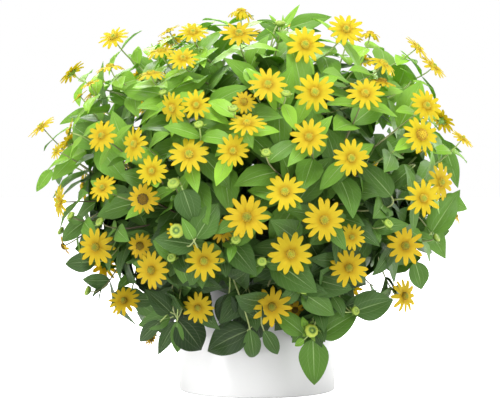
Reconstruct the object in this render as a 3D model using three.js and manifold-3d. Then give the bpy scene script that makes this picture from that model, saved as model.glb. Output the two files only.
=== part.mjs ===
// A creeping zinnia in a plain round pot: a mound of leafy stems with yellow blooms.
// Millimetres, +Z up. The origin is the middle of the pot's underside, and -Y is the side that is looked at.
import * as THREE from 'three';
import Module from 'manifold-3d';

const wasm = await Module();
wasm.setup();
const DEG = Math.PI / 180;
const UP = new THREE.Vector3(0, 0, 1);
const FRONT = new THREE.Vector3(0, -1, 0);

// Pot and soil
const POT_RADIUS = 60;
const POT_HEIGHT = 110;
const POT_WALL = 4;
const POT_FLOOR = 5;
const POT_CORNER = 1.5;
const POT_SIDES = 30;
const RIM_BEVEL = 1;
const SOIL_TOP = 98;
const SOIL_CROWN = 3; // the soil is this much higher in the middle
const SOIL_EDGE = { down: 2, inward: 3 }; // the soil slopes off beside the pot
const SOIL_GAP = 0.3; // between the soil and the pot, and between a stem and its hole
const STEM_DEPTH = 22; // of a stem's foot below the soil's edge

// The mound that the blooms lie on: round in plan, flatter above its widest height than below it
const MOUND_RADIUS = 161;
const MOUND_MIDDLE = 185;
const MOUND_ABOVE = 113;
const MOUND_BELOW = 156;
const FIRST_DEPTH = 0.6; // of the radius, where the search for the mound's face starts
const DEPTH_STEPS = 8;

// The eye that the places below were read from: its distance and height, its sight length in photo pixels,
// the column of the pot's axis and the row of the horizon
const EYE_DISTANCE = 1300;
const EYE_HEIGHT = 157;
const EYE_PIXELS = 1680;
const AXIS_COLUMN = 257;
const HORIZON_ROW = 186;

// Main stems: turn round the pot from the front, rise of the aim above level, and how far the foot is from the
// middle
const MAIN_STEMS = [
  { turn: -29, rise: -1, foot: 31 },
  { turn: 30, rise: 1, foot: 30 },
  { turn: 88, rise: 3, foot: 31 },
  { turn: 150, rise: 0, foot: 30 },
  { turn: 209, rise: -1, foot: 31 },
  { turn: 271, rise: 3, foot: 30 },
  { turn: 3, rise: 50, foot: 12 },
  { turn: 122, rise: 52, foot: 11 },
  { turn: 241, rise: 51, foot: 12 },
];
const AIM_HEIGHT = 135; // the stems spread from here
const STEEP_AIM = 30; // degrees; a stem with a lower aim arches over
const ARCH_RISE = 12;
const ARCH_OUT = 3;
const MAIN_REACH = 104;
const MAIN_BEND_SHARE = 0.62; // of the reach, where the curve's last pull is
const MAIN_LENGTH = 150;
const MAIN_FOOT_RADIUS = 2.3;
const MAIN_TIP_RADIUS = 1.4;
const MAIN_STEPS = 5;
const MAIN_SIDES = 5;
const HOLE_ROOM = 0.8; // of a stem's hole in the soil, past the stem's own radius
const UPRIGHT = 1e-6; // squared level part of an axis that counts as upright

// Shoots. Each starts part of the way along the main stem whose aim is nearest, the further back the more it
// turns aside from that aim
const LOWEST_START = 0.42;
const LOWEST_HANGING = 0.56;
const HIGHEST_START = 0.9;
const START_FALL = 75; // degrees from the aim for the whole length
const START_SCATTER = 0.07;
const GOLDEN_SHARE = 0.618034;
const LEAVE_SHARE = 0.3; // of its length, how far a shoot runs on with the main stem, and how far it rises
const LEAVE_RISE = 0.06;
const SHOOT_RADIUS = 1.35; // to the corners of its three sides
const SHOOT_FOOT_RADIUS = 0.8;
const CALYX_RADIUS = 2.6;
const ARRIVAL = 26; // a shoot runs straight to its end over about this length, or less beside the pot
const ARRIVAL_SHARE = 0.33;
const LEAST_ARRIVAL = 6;
const RIM_ROOM = 8;
const SHOOT_SIDES = 3;
const SHOOT_STRETCH = 88; // the longest straight stretch below the first leaves
const HANGING_STRETCH = 40; // the same where a shoot bends down over the pot's rim
const JOINT_HALF = 1.5; // half of the length of stem that a pair of leaves grows from
const CORNER_TURN = 30 * DEG; // from a leaf's heading to the middle of the stem's face that it grows from

// Blooms: a flat star of rays round a low dome, thick at the middle and thin at the rays' edges
const BLOOM_NODES = 49; // the widest blooms, each a node of its own
const RAYS = 11;
const DOME_SHARE = 0.17; // of the bloom's radius
const BACK_SHARE = 0.11;
const NOTCH_SHARE = 0.36; // where two rays part
const RAY_LIFT = 0.05;
const BLOOM_GAP = 0.35; // between a bloom and its stalk

// Leaves
const LEAF_KEEL = 1.3; // depth of a blade's keel under its flat upper side
const LEAF_ARCH = 0.65; // radians that a leaf bends down over its length
const BUD_SIDES = 6;
const BROAD_LEAF = 29; // longer leaves get the fuller outline
const BROAD_STATIONS = [[0.28, 0.93], [0.64, 0.8]]; // shares along the leaf, and of its half width there
const NARROW_STATIONS = [[0.42, 1]];
const END_LEAF_RISE = 0.3; // how far up a leaf at a shoot's end looks, where it looks to the front by 1
const END_LEAF_SLACK = 1.08; // length of such a leaf over the straight way to its tip
const LEAF_LOOK = { outward: 0.6, up: 0.5, ahead: 0.2 }; // what a leaf's upper side faces
const LEAF_SAG = 0.12;
const BUD_TOP = 0.55; // height of a bud's tip and depth of its foot, as shares of its width
const BUD_FOOT = 0.5;
const LOWER_PAIR = { below: 34, length: 36, width: 18 };
const UPPER_PAIR = { below: 14, length: 27, width: 11 };
const LEAST_SIZE = 0.85; // of a pair, as a share of the measures above
const SIZE_RANGE = 0.3;
const TURNS = 12; // turns that are tried for each pair
const SPREADS = [12, 35, 60]; // angles between a leaf and the plane across its stem that are tried, in degrees
const SHORTER = [1, 0.8, 0.62];
const LEAST_STALK = 12; // of a shoot below its lowest leaves
const MOST_NEARNESS = 1.04; // a leaf whose tip stands out of the mound by more is made smaller
const TRIMMED = 0.55;

// Room that a sample point keeps round it
const LEAF_ROOM = 2.35;
const BLOOM_ROOM = 3.0;
const SHOOT_ROOM = 2.2;
const WELD = 0.002; // corners nearer than this are one
const ROOM_REACH = 48;
const OWN_REACH = 13;
const POT_ROOM = 3.2;
const MOST_ROOM = 9;
const ENOUGH_ROOM = 0.5;
const SAMPLE_STEP = 3; // between the sample points on a stem
const EXTRA_ROOM = 1; // past the radius of a main stem or a bud
const BLOOM_SAMPLES = [[0.45, 6], [0.9, 12]]; // rings of sample points: share of the radius, and how many

// Blooms on the front. Column and row of the middle, width across the rays in mm, where the face looks
// (turn to the right and tip upward, in degrees), and how much deeper than the mound's face it sits, in mm
const bloom = (column, row, width, turn, tip, deeper = 0) => ({ column, row, width, turn, tip, deeper });
const FRONT_BLOOMS = [
  bloom(114, 38, 25, -25, 45), bloom(169, 31, 17, -60, 60), bloom(193, 33, 22, 0, 45),
  bloom(162, 51, 24, -10, 68), bloom(183, 59, 22, 0, 42), bloom(241, 12, 21, 10, 80, 30),
  bloom(239, 34, 27, 0, 44), bloom(151, 74, 22, -20, 68), bloom(110, 67, 22, -60, 78),
  bloom(72, 73, 24, -110, 45), bloom(90, 84, 16, -60, 60, 14), bloom(80, 96, 14, -80, 50, 18),
  bloom(173, 108, 24, -45, -10), bloom(196, 105, 21, 8, 10), bloom(42, 127, 25, -60, 48),
  bloom(69, 132, 20, -85, 15), bloom(57, 151, 14, -50, 20, 16), bloom(102, 136, 24, -25, 20),
  bloom(135, 144, 25, -45, 5), bloom(189, 155, 29, -5, 30), bloom(233, 151, 23, 0, 10),
  bloom(152, 171, 22, -10, 5), bloom(143, 199, 23, -10, -5), bloom(103, 188, 21, -25, 25),
  bloom(60, 202, 25, -62, 0), bloom(305, 45, 28, 5, 15), bloom(346, 30, 26, 5, 28),
  bloom(370, 34, 17, 60, 84, 26), bloom(417, 48, 23, 61, 38), bloom(433, 67, 25, 57, 42),
  bloom(383, 64, 24, 54, 50), bloom(382, 82, 22, 40, 72, 16), bloom(268, 85, 27, 0, 30),
  bloom(315, 92, 28, 0, 5), bloom(365, 94, 27, 10, 33), bloom(426, 106, 26, 25, 20),
  bloom(421, 135, 27, 20, 10), bloom(309, 137, 26, 0, 15), bloom(351, 158, 26, 15, 0),
  bloom(462, 139, 19, 52, 50), bloom(440, 182, 28, 45, 0), bloom(423, 198, 27, 15, 0, -12),
  bloom(285, 192, 28, 0, 22), bloom(244, 102, 18, 0, 20, 14), bloom(247, 124, 26, 0, 52),
  bloom(96, 247, 29, -20, 0), bloom(64, 246, 18, -85, -25), bloom(140, 246, 20, -15, 0, 12),
  bloom(152, 270, 28, -30, 0), bloom(204, 261, 28, 0, 0), bloom(124, 301, 24, -15, 30),
  bloom(198, 308, 23, -5, 0), bloom(151, 339, 13, 45, -20), bloom(177, 231, 14, -10, 10),
  bloom(222, 231, 18, 10, 10, 20), bloom(247, 217, 31, 0, 5), bloom(324, 220, 30, 10, 0),
  bloom(352, 237, 19, 0, 0, 4), bloom(291, 254, 31, 0, 0), bloom(349, 268, 27, 5, 10),
  bloom(405, 246, 29, 15, 10), bloom(404, 296, 28, 45, 5), bloom(272, 307, 29, 0, 5),
  bloom(456, 216, 14, 70, 20, 10), bloom(295, 310, 16, 5, 0, 18),
];

// Buds on the front: column and row, width in mm, and how much deeper than the mound's face it sits, in mm
const bud = (column, row, width, deeper = 0) => ({ column, row, width, deeper });
const FRONT_BUDS = [
  bud(280, 24, 7), bud(163, 93, 5), bud(233, 109, 6), bud(199, 125, 6), bud(286, 94, 6),
  bud(266, 153, 6), bud(174, 184, 8), bud(71, 216, 6), bud(61, 231, 6), bud(100, 222, 6),
  bud(88, 291, 7, -20), bud(236, 240, 6), bud(262, 262, 6), bud(172, 258, 6), bud(303, 289, 7),
  bud(436, 238, 6), bud(355, 311, 6, -18), bud(388, 224, 6), bud(311, 331, 9, -27),
];

// Large leaves that hang or stand out by themselves on the front: column, row and distance before the
// pot's axis of the root, then of the tip, and the width, in mm
const leaf = (root, tip, width) => ({ root, tip, width });
const FRONT_LEAVES = [
  leaf([313, 339, 90], [315, 388, 80], 20), leaf([353, 312, 92], [394, 297, 86], 20),
  leaf([320, 336, 88], [354, 312, 96], 18), leaf([290, 28, 20], [328, 14, 26], 13),
  leaf([281, 31, 8], [299, 3, 2], 9), leaf([85, 147, 34], [50, 176, 40], 15),
  leaf([52, 170, 20], [34, 190, 22], 8), leaf([170, 318, 84], [137, 324, 78], 14),
  leaf([170, 312, 92], [150, 292, 104], 14), leaf([178, 320, 90], [207, 354, 80], 23),
  leaf([247, 331, 92], [201, 350, 84], 22), leaf([250, 330, 98], [256, 368, 84], 12),
  leaf([264, 331, 102], [281, 357, 94], 10), leaf([442, 200, 34], [470, 207, 30], 13),
  leaf([426, 226, 40], [448, 258, 36], 15), leaf([415, 262, 44], [425, 293, 40], 14),
  leaf([84, 222, 36], [57, 240, 32], 13), leaf([96, 262, 36], [64, 262, 30], 15),
];

// The sides, top and back: places wound evenly round the mound, a little inside its outline
const WOUND_PLACES = 106;
const WOUND_LOWEST = -0.76; // of the way down from the mound's middle
const WOUND_START = 8; // mm behind the middle plane
const WOUND_INSIDE = 0.96;
const WOUND_TOP = 0.9;
const WOUND_APART = 30;
const WOUND_BUD_EVERY = 8;
const WOUND_BUD_SHARE = 0.25; // of a bloom's width
const WOUND_SWAY = 0.12; // radians
const WOUND_LEAN = 0.8;
const WOUND_RISE = { least: 0.2, more: 0.7 };
const WOUND_LEAST = 21; // width of the smallest bloom there, and how much more the largest has
const WOUND_MORE = 9;
const GOLDEN_TURN = Math.PI * (3 - Math.sqrt(5));
const SEED = 4127;

// A seeded draw from 0 to 1
function drawing(seed) {
  let state = seed;
  return () => {
    state = (state + 0x6d2b79f5) | 0;
    let mixed = Math.imul(state ^ (state >>> 15), 1 | state);
    mixed = (mixed + Math.imul(mixed ^ (mixed >>> 7), 61 | mixed)) ^ mixed;
    return ((mixed ^ (mixed >>> 14)) >>> 0) / 4294967296;
  };
}
const draw = drawing(SEED);

// A direction from its turn (0 is to the front, positive to the right) and its rise, in degrees
function direction(turn, rise) {
  const flat = Math.cos(rise * DEG);
  return new THREE.Vector3(Math.sin(turn * DEG) * flat, -Math.cos(turn * DEG) * flat, Math.sin(rise * DEG));
}

// The place seen at a column and row, this far before the pot's axis
function placeAt(column, row, before) {
  const scale = (EYE_DISTANCE - before) / EYE_PIXELS;
  return new THREE.Vector3((column - AXIS_COLUMN) * scale, -before, EYE_HEIGHT + (HORIZON_ROW - row) * scale);
}

// How far the mound's face is before the axis at a column and row, found by stepping towards it
function moundDepth(column, row) {
  let before = MOUND_RADIUS * FIRST_DEPTH;
  for (let step = 0; step < DEPTH_STEPS; step += 1) {
    const place = placeAt(column, row, before);
    const tall = place.z > MOUND_MIDDLE ? MOUND_ABOVE : MOUND_BELOW;
    const left = 1 - (place.x / MOUND_RADIUS) ** 2 - ((place.z - MOUND_MIDDLE) / tall) ** 2;
    before = MOUND_RADIUS * Math.sqrt(Math.max(left, 0));
  }
  return before;
}

// The way out of the mound at a place
function outward(place) {
  const tall = place.z > MOUND_MIDDLE ? MOUND_ABOVE : MOUND_BELOW;
  return new THREE.Vector3(
    place.x / MOUND_RADIUS ** 2, place.y / MOUND_RADIUS ** 2, (place.z - MOUND_MIDDLE) / tall ** 2).normalize();
}

// 0 at the mound's middle, 1 on its face
function nearness(place) {
  const tall = place.z > MOUND_MIDDLE ? MOUND_ABOVE : MOUND_BELOW;
  return Math.hypot(place.x / MOUND_RADIUS, place.y / MOUND_RADIUS, (place.z - MOUND_MIDDLE) / tall);
}

// Everything that ends a shoot: blooms, buds and large leaves, first on the front and then round the rest
function frontEnds() {
  const ends = [];
  for (const { column, row, width, turn, tip, deeper } of FRONT_BLOOMS) {
    const place = placeAt(column, row, moundDepth(column, row) - deeper);
    ends.push({ kind: 'bloom', place, axis: direction(turn, tip), width });
  }
  for (const { column, row, width, deeper } of FRONT_BUDS) {
    const place = placeAt(column, row, moundDepth(column, row) - deeper);
    ends.push({ kind: 'bud', place, axis: outward(place).add(UP).normalize(), width });
  }
  for (const { root, tip, width } of FRONT_LEAVES) {
    const place = placeAt(...root);
    const leafTip = placeAt(...tip);
    ends.push({ kind: 'leaf', place, axis: leafTip.clone().sub(place).normalize(), leafTip, width });
  }
  return ends;
}

function woundEnds(front) {
  const ends = [];
  for (let index = 0; index < WOUND_PLACES; index += 1) {
    const rise = 1 - 2 * (index + 0.5) / WOUND_PLACES;
    const flat = Math.sqrt(1 - rise ** 2) * MOUND_RADIUS * WOUND_INSIDE;
    const turn = index * GOLDEN_TURN + (draw() - 0.5) * WOUND_SWAY;
    const tall = rise > 0 ? MOUND_ABOVE * WOUND_TOP : MOUND_BELOW;
    const place = new THREE.Vector3(Math.sin(turn) * flat, -Math.cos(turn) * flat, MOUND_MIDDLE + rise * tall);
    const width = WOUND_LEAST + WOUND_MORE * draw();
    const lean = new THREE.Vector3(draw() - 0.5, draw() - 0.5, WOUND_RISE.least + draw() * WOUND_RISE.more);
    const near = [...front, ...ends].some((other) => other.place.distanceTo(place) < WOUND_APART);
    if (place.y < WOUND_START || rise < WOUND_LOWEST || near) {
      continue;
    }
    const axis = outward(place).addScaledVector(lean, WOUND_LEAN).normalize();
    const isBud = ends.length % WOUND_BUD_EVERY === WOUND_BUD_EVERY - 1;
    ends.push({ kind: isBud ? 'bud' : 'bloom', place, axis, width: isBud ? width * WOUND_BUD_SHARE : width });
  }
  return ends;
}

// Curves of the main stems and the shoots
function mainCurve({ turn, rise, foot }) {
  const out = direction(turn, 0);
  const aim = direction(turn, rise);
  const start = out.clone().multiplyScalar(foot).setZ(SOIL_TOP - STEM_DEPTH);
  const spread = new THREE.Vector3(0, 0, AIM_HEIGHT);
  const bend = rise < STEEP_AIM ? out.clone().multiplyScalar(foot + ARCH_OUT).setZ(AIM_HEIGHT + ARCH_RISE)
    : out.clone().multiplyScalar(foot).setZ(AIM_HEIGHT);
  const reach = spread.clone().addScaledVector(aim, MAIN_REACH * MAIN_BEND_SHARE)
    .addScaledVector(UP, ARCH_RISE);
  return new THREE.CubicBezierCurve3(start, bend, reach, spread.clone().addScaledVector(aim, MAIN_REACH));
}

function shootFor(end, index, mains) {
  const spread = new THREE.Vector3(0, 0, AIM_HEIGHT);
  const heading = end.place.clone().sub(spread).normalize();
  const angles = mains.map(({ aim }) => Math.acos(Math.min(1, heading.dot(aim))) / DEG);
  const main = angles.indexOf(Math.min(...angles));
  const hangs = end.place.z < POT_HEIGHT;
  const lowest = hangs ? LOWEST_HANGING : LOWEST_START;
  const along = Math.min(HIGHEST_START, Math.max(lowest, 1 - angles[main] / START_FALL))
    + START_SCATTER * ((index * GOLDEN_SHARE) % 1);
  const start = mains[main].curve.getPoint(along);
  const tangent = mains[main].curve.getTangent(along);
  const back = { bloom: BACK_SHARE * end.width / 2, bud: 0, leaf: 0 }[end.kind];
  const finish = end.place.clone().addScaledVector(end.axis, -back);
  const length = start.distanceTo(finish);
  const leave = start.clone().addScaledVector(tangent, length * LEAVE_SHARE)
    .addScaledVector(UP, length * LEAVE_RISE);
  const beside = Math.max(LEAST_ARRIVAL, Math.hypot(finish.x, finish.y) - POT_RADIUS - RIM_ROOM);
  const behind = Math.min(ARRIVAL, length * ARRIVAL_SHARE, hangs ? beside : ARRIVAL);
  const arrive = finish.clone().addScaledVector(end.axis, -behind);
  const curve = new THREE.CubicBezierCurve3(start, leave, arrive, finish);
  return { ...end, main, curve, length, hangs, leaves: [], joints: [], turn: index };
}

// Sample points that keep things apart
const samples = [];
function claim(point, room, owner) {
  samples.push({ point, room, owner });
}

function claimCurve(curve, length, room, owner) {
  const count = Math.round(length / SAMPLE_STEP);
  for (let step = 0; step <= count; step += 1) {
    claim(curve.getPoint(step / count), room, owner);
  }
}

// Two directions square to an axis, the first of them level
function square(axis) {
  const side = new THREE.Vector3(-axis.y, axis.x, 0);
  if (side.lengthSq() < UPRIGHT) {
    side.set(1, 0, 0);
  }
  side.normalize();
  return [side, axis.clone().cross(side)];
}

function claimBloom(place, axis, width, owner) {
  const [side, other] = square(axis);
  claim(place, BLOOM_ROOM, owner);
  for (const [share, count] of BLOOM_SAMPLES) {
    for (let step = 0; step < count; step += 1) {
      const angle = 2 * Math.PI * step / count;
      const point = place.clone().addScaledVector(side, Math.cos(angle) * share * width / 2);
      claim(point.addScaledVector(other, Math.sin(angle) * share * width / 2), BLOOM_ROOM, owner);
    }
  }
}

// A leaf is its root, heading, upper side, length and width. It bends down evenly along its length
function leafPoint(blade, along, across) {
  const angle = LEAF_ARCH * along;
  const run = blade.length / LEAF_ARCH;
  return blade.root.clone()
    .addScaledVector(blade.heading, run * Math.sin(angle))
    .addScaledVector(blade.upper, -run * (1 - Math.cos(angle)))
    .addScaledVector(blade.side, across);
}

const LEAF_STATIONS = [0.2, 0.36, 0.52, 0.68, 0.84, 0.98];
const LEAF_SHARES = [0.62, 0.96, 0.92, 0.72, 0.42, 0.05]; // of the half width, at those stations
const LEAF_ACROSS = [-0.62, 0, 0.62]; // of the half width at a station

function leafSamples(blade) {
  const points = [];
  LEAF_STATIONS.forEach((along, station) => {
    for (const share of LEAF_ACROSS) {
      points.push(leafPoint(blade, along, share * LEAF_SHARES[station] * blade.width / 2));
    }
  });
  return points;
}

function makeBlade(root, heading, upperHint, length, width) {
  const upper = upperHint.clone().addScaledVector(heading, -upperHint.dot(heading)).normalize();
  const side = heading.clone().cross(upper);
  return { root, heading, upper, side, length, width };
}

// The least room left between a leaf and what is near it, less than nothing where they would meet
function roomFor(points, near) {
  let room = MOST_ROOM;
  for (const point of points) {
    if (point.z < POT_HEIGHT + POT_ROOM) {
      room = Math.min(room, Math.hypot(point.x, point.y) - POT_RADIUS - POT_ROOM);
    }
    for (const sample of near) {
      room = Math.min(room, point.distanceTo(sample.point) - sample.room - LEAF_ROOM);
    }
  }
  return room;
}

function placePair(shoot, owner, { below, length, width }, phase, size) {
  const along = 1 - below / shoot.length;
  if (below > shoot.length - LEAST_STALK) {
    return { leaves: [] };
  }
  const root = shoot.curve.getPoint(along);
  const tangent = shoot.curve.getTangent(along);
  const [side, other] = square(tangent);
  const hint = outward(root).multiplyScalar(LEAF_LOOK.outward).addScaledVector(UP, LEAF_LOOK.up)
    .addScaledVector(tangent, LEAF_LOOK.ahead);
  const near = samples.filter(({ point, owner: whose }) => {
    const apart = point.distanceTo(root);
    return apart < ROOM_REACH && (whose !== owner || apart > OWN_REACH);
  });
  let best = { score: -Infinity };
  for (let turn = 0; turn < TURNS; turn += 1) {
    const angle = phase + Math.PI * turn / TURNS;
    const across = side.clone().multiplyScalar(Math.cos(angle)).addScaledVector(other, Math.sin(angle));
    for (const spread of SPREADS) {
      const blades = [1, -1].map((way) => {
        const heading = across.clone().multiplyScalar(way * Math.cos(spread * DEG))
          .addScaledVector(tangent, Math.sin(spread * DEG)).addScaledVector(UP, -LEAF_SAG).normalize();
        return makeBlade(root, heading, hint, length * size, width * size);
      });
      const rooms = blades.map((blade) => roomFor(leafSamples(blade), near));
      const score = Math.min(rooms[0], ENOUGH_ROOM) + Math.min(rooms[1], ENOUGH_ROOM);
      if (score > best.score) {
        best = { score, blades, angle };
      }
    }
  }
  const kept = [];
  for (const blade of best.blades) {
    for (const shorter of SHORTER) {
      const trial = { ...blade, length: blade.length * shorter, width: blade.width * shorter };
      const points = leafSamples(trial);
      if (roomFor(points, near) >= 0) {
        kept.push({ ...trial, points });
        break;
      }
    }
  }
  return { along, angle: best.angle, leaves: kept };
}

// The whole plant's layout
function grow() {
  const mains = MAIN_STEMS.map((stem) => {
    return { ...stem, aim: direction(stem.turn, stem.rise), curve: mainCurve(stem) };
  });
  const front = frontEnds();
  const shoots = [...front, ...woundEnds(front)].map((end, index) => shootFor(end, index, mains));
  mains.forEach(({ curve }, index) => {
    claimCurve(curve, MAIN_LENGTH, MAIN_FOOT_RADIUS + EXTRA_ROOM, -1 - index);
  });
  shoots.forEach((shoot, owner) => {
    claimCurve(shoot.curve, shoot.length, SHOOT_ROOM, owner);
    if (shoot.kind === 'bloom') {
      claimBloom(shoot.place, shoot.axis, shoot.width, owner);
    }
    if (shoot.kind === 'bud') {
      claim(shoot.place, shoot.width / 2 + EXTRA_ROOM, owner);
    }
    if (shoot.kind === 'leaf') {
      const hint = FRONT.clone().addScaledVector(UP, END_LEAF_RISE);
      const length = shoot.place.distanceTo(shoot.leafTip) * END_LEAF_SLACK;
      const blade = makeBlade(shoot.place, shoot.axis, hint, length, shoot.width);
      shoot.leaves.push(blade);
      leafSamples(blade).forEach((point) => claim(point, LEAF_ROOM, owner));
    }
  });
  const widest = shoots.filter(({ kind }) => kind === 'bloom').sort((one, two) => two.width - one.width)
    .slice(0, BLOOM_NODES);
  for (const [pair, bearers] of [[LOWER_PAIR, shoots], [UPPER_PAIR, widest]]) {
    for (const shoot of bearers) {
      const owner = shoots.indexOf(shoot);
      const phase = draw() * Math.PI;
      const size = LEAST_SIZE + draw() * SIZE_RANGE;
      const joint = placePair(shoot, owner, pair, phase, size);
      if (joint.leaves.length > 0) {
        shoot.joints.push(joint);
      }
      for (const blade of joint.leaves) {
        blade.points.forEach((point) => claim(point, LEAF_ROOM, owner));
      }
    }
  }
  for (const blade of shoots.flatMap(({ joints }) => joints).flatMap(({ leaves }) => leaves)) {
    if (nearness(leafPoint(blade, 1, 0)) > MOST_NEARNESS) {
      blade.length *= TRIMMED;
      blade.width *= TRIMMED;
    }
  }
  return { mains, shoots, widest };
}

// Solids, each from its points and its triangles
function solid({ points, triangles }) {
  const vertProperties = new Float32Array(points.flatMap(({ x, y, z }) => [x, y, z]));
  const triVerts = new Uint32Array(triangles.flat());
  return new wasm.Manifold(new wasm.Mesh({ numProp: 3, vertProperties, triVerts }));
}

// Adds a ring of corners square to an axis, and returns their numbers
function addRing(shape, middle, axis, radius, sides, phase = 0) {
  const [side, other] = square(axis);
  const first = shape.points.length;
  for (let corner = 0; corner < sides; corner += 1) {
    const angle = phase + 2 * Math.PI * corner / sides;
    shape.points.push(middle.clone().addScaledVector(side, radius * Math.cos(angle))
      .addScaledVector(other, radius * Math.sin(angle)));
  }
  return Array.from({ length: sides }, (_, corner) => first + corner);
}

function addPoint(shape, point) {
  shape.points.push(point);
  return shape.points.length - 1;
}

// A band of triangles between two rings, going round both at the same pace from a corner of each
function band(from, to, fromStart, toStart) {
  const fromAt = (index) => from[(fromStart + index) % from.length];
  const toAt = (index) => to[(toStart + index) % to.length];
  const triangles = [];
  let low = 0;
  let high = 0;
  while (low < from.length || high < to.length) {
    if ((low + 0.5) / from.length <= (high + 0.5) / to.length) {
      triangles.push([fromAt(low), fromAt(low + 1), toAt(high)]);
      low += 1;
    } else {
      triangles.push([fromAt(low), toAt(high + 1), toAt(high)]);
      high += 1;
    }
  }
  return triangles;
}

// Joins one ring to the next with the band that holds the most between them, because a twisted one holds less
function bridge(shape, from, to) {
  const origin = shape.points[from[0]];
  const held = (corners) => {
    const [a, b, c] = corners.map((corner) => shape.points[corner].clone().sub(origin));
    return a.dot(b.cross(c));
  };
  let best = { most: -Infinity };
  for (const fromStart of from.keys()) {
    for (const toStart of to.keys()) {
      const triangles = band(from, to, fromStart, toStart);
      const most = triangles.reduce((sum, corners) => sum + held(corners), 0);
      if (most > best.most) {
        best = { most, triangles };
      }
    }
  }
  shape.triangles.push(...best.triangles);
}

// Joins a ring to one point, with the faces outward when the point lies ahead
function close(shape, ring, point) {
  ring.forEach((corner, index) => shape.triangles.push([corner, ring[(index + 1) % ring.length], point]));
}

function cap(shape, ring, ahead) {
  for (let corner = 1; corner < ring.length - 1; corner += 1) {
    const [second, third] = ahead ? [ring[corner], ring[corner + 1]] : [ring[corner + 1], ring[corner]];
    shape.triangles.push([ring[0], second, third]);
  }
}

// A stem along a curve in even stretches, with a radius for each ring
function stemSolid(curve, steps, sides, radiusAt) {
  const shape = { points: [], triangles: [] };
  let ring;
  for (let step = 0; step <= steps; step += 1) {
    const along = step / steps;
    const next = addRing(shape, curve.getPoint(along), curve.getTangent(along), radiusAt(along), sides);
    if (ring) {
      bridge(shape, ring, next);
    } else {
      cap(shape, next, false);
    }
    ring = next;
  }
  cap(shape, ring, true);
  return solid(shape);
}

// A leaf blade that grows out of a ring: flat above and keeled along the midrib below, with two stations, or one
// on a narrow leaf
function addBlade(shape, ring, blade) {
  const stations = blade.length > BROAD_LEAF ? BROAD_STATIONS : NARROW_STATIONS;
  let last = ring;
  for (const [along, share] of stations) {
    const half = share * blade.width / 2;
    const next = [leafPoint(blade, along, -half), leafPoint(blade, along, half),
      leafPoint(blade, along, 0).addScaledVector(blade.upper, -LEAF_KEEL)].map((point) => addPoint(shape, point));
    bridge(shape, last, next);
    last = next;
  }
  close(shape, last, addPoint(shape, leafPoint(blade, 1, 0)));
}

// The rays' notches and ends round a bloom
function rayRing(shape, { place, axis, width }) {
  const radius = width / 2;
  const notches = addRing(shape, place, axis, NOTCH_SHARE * radius, RAYS, -Math.PI / RAYS);
  const ends = addRing(shape, place.clone().addScaledVector(axis, RAY_LIFT * radius), axis, radius, RAYS);
  return notches.flatMap((notch, ray) => [notch, ends[ray]]);
}

// A bloom that stands by itself: an apex above and below its ring
function bloomSolid(bloomEnd) {
  const shape = { points: [], triangles: [] };
  const { place, axis, width } = bloomEnd;
  const ring = rayRing(shape, bloomEnd);
  close(shape, ring, addPoint(shape, place.clone().addScaledVector(axis, DOME_SHARE * width / 2)));
  close(shape, [...ring].reverse(), addPoint(shape, place.clone().addScaledVector(axis, -BACK_SHARE * width / 2)));
  return solid(shape);
}

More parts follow.
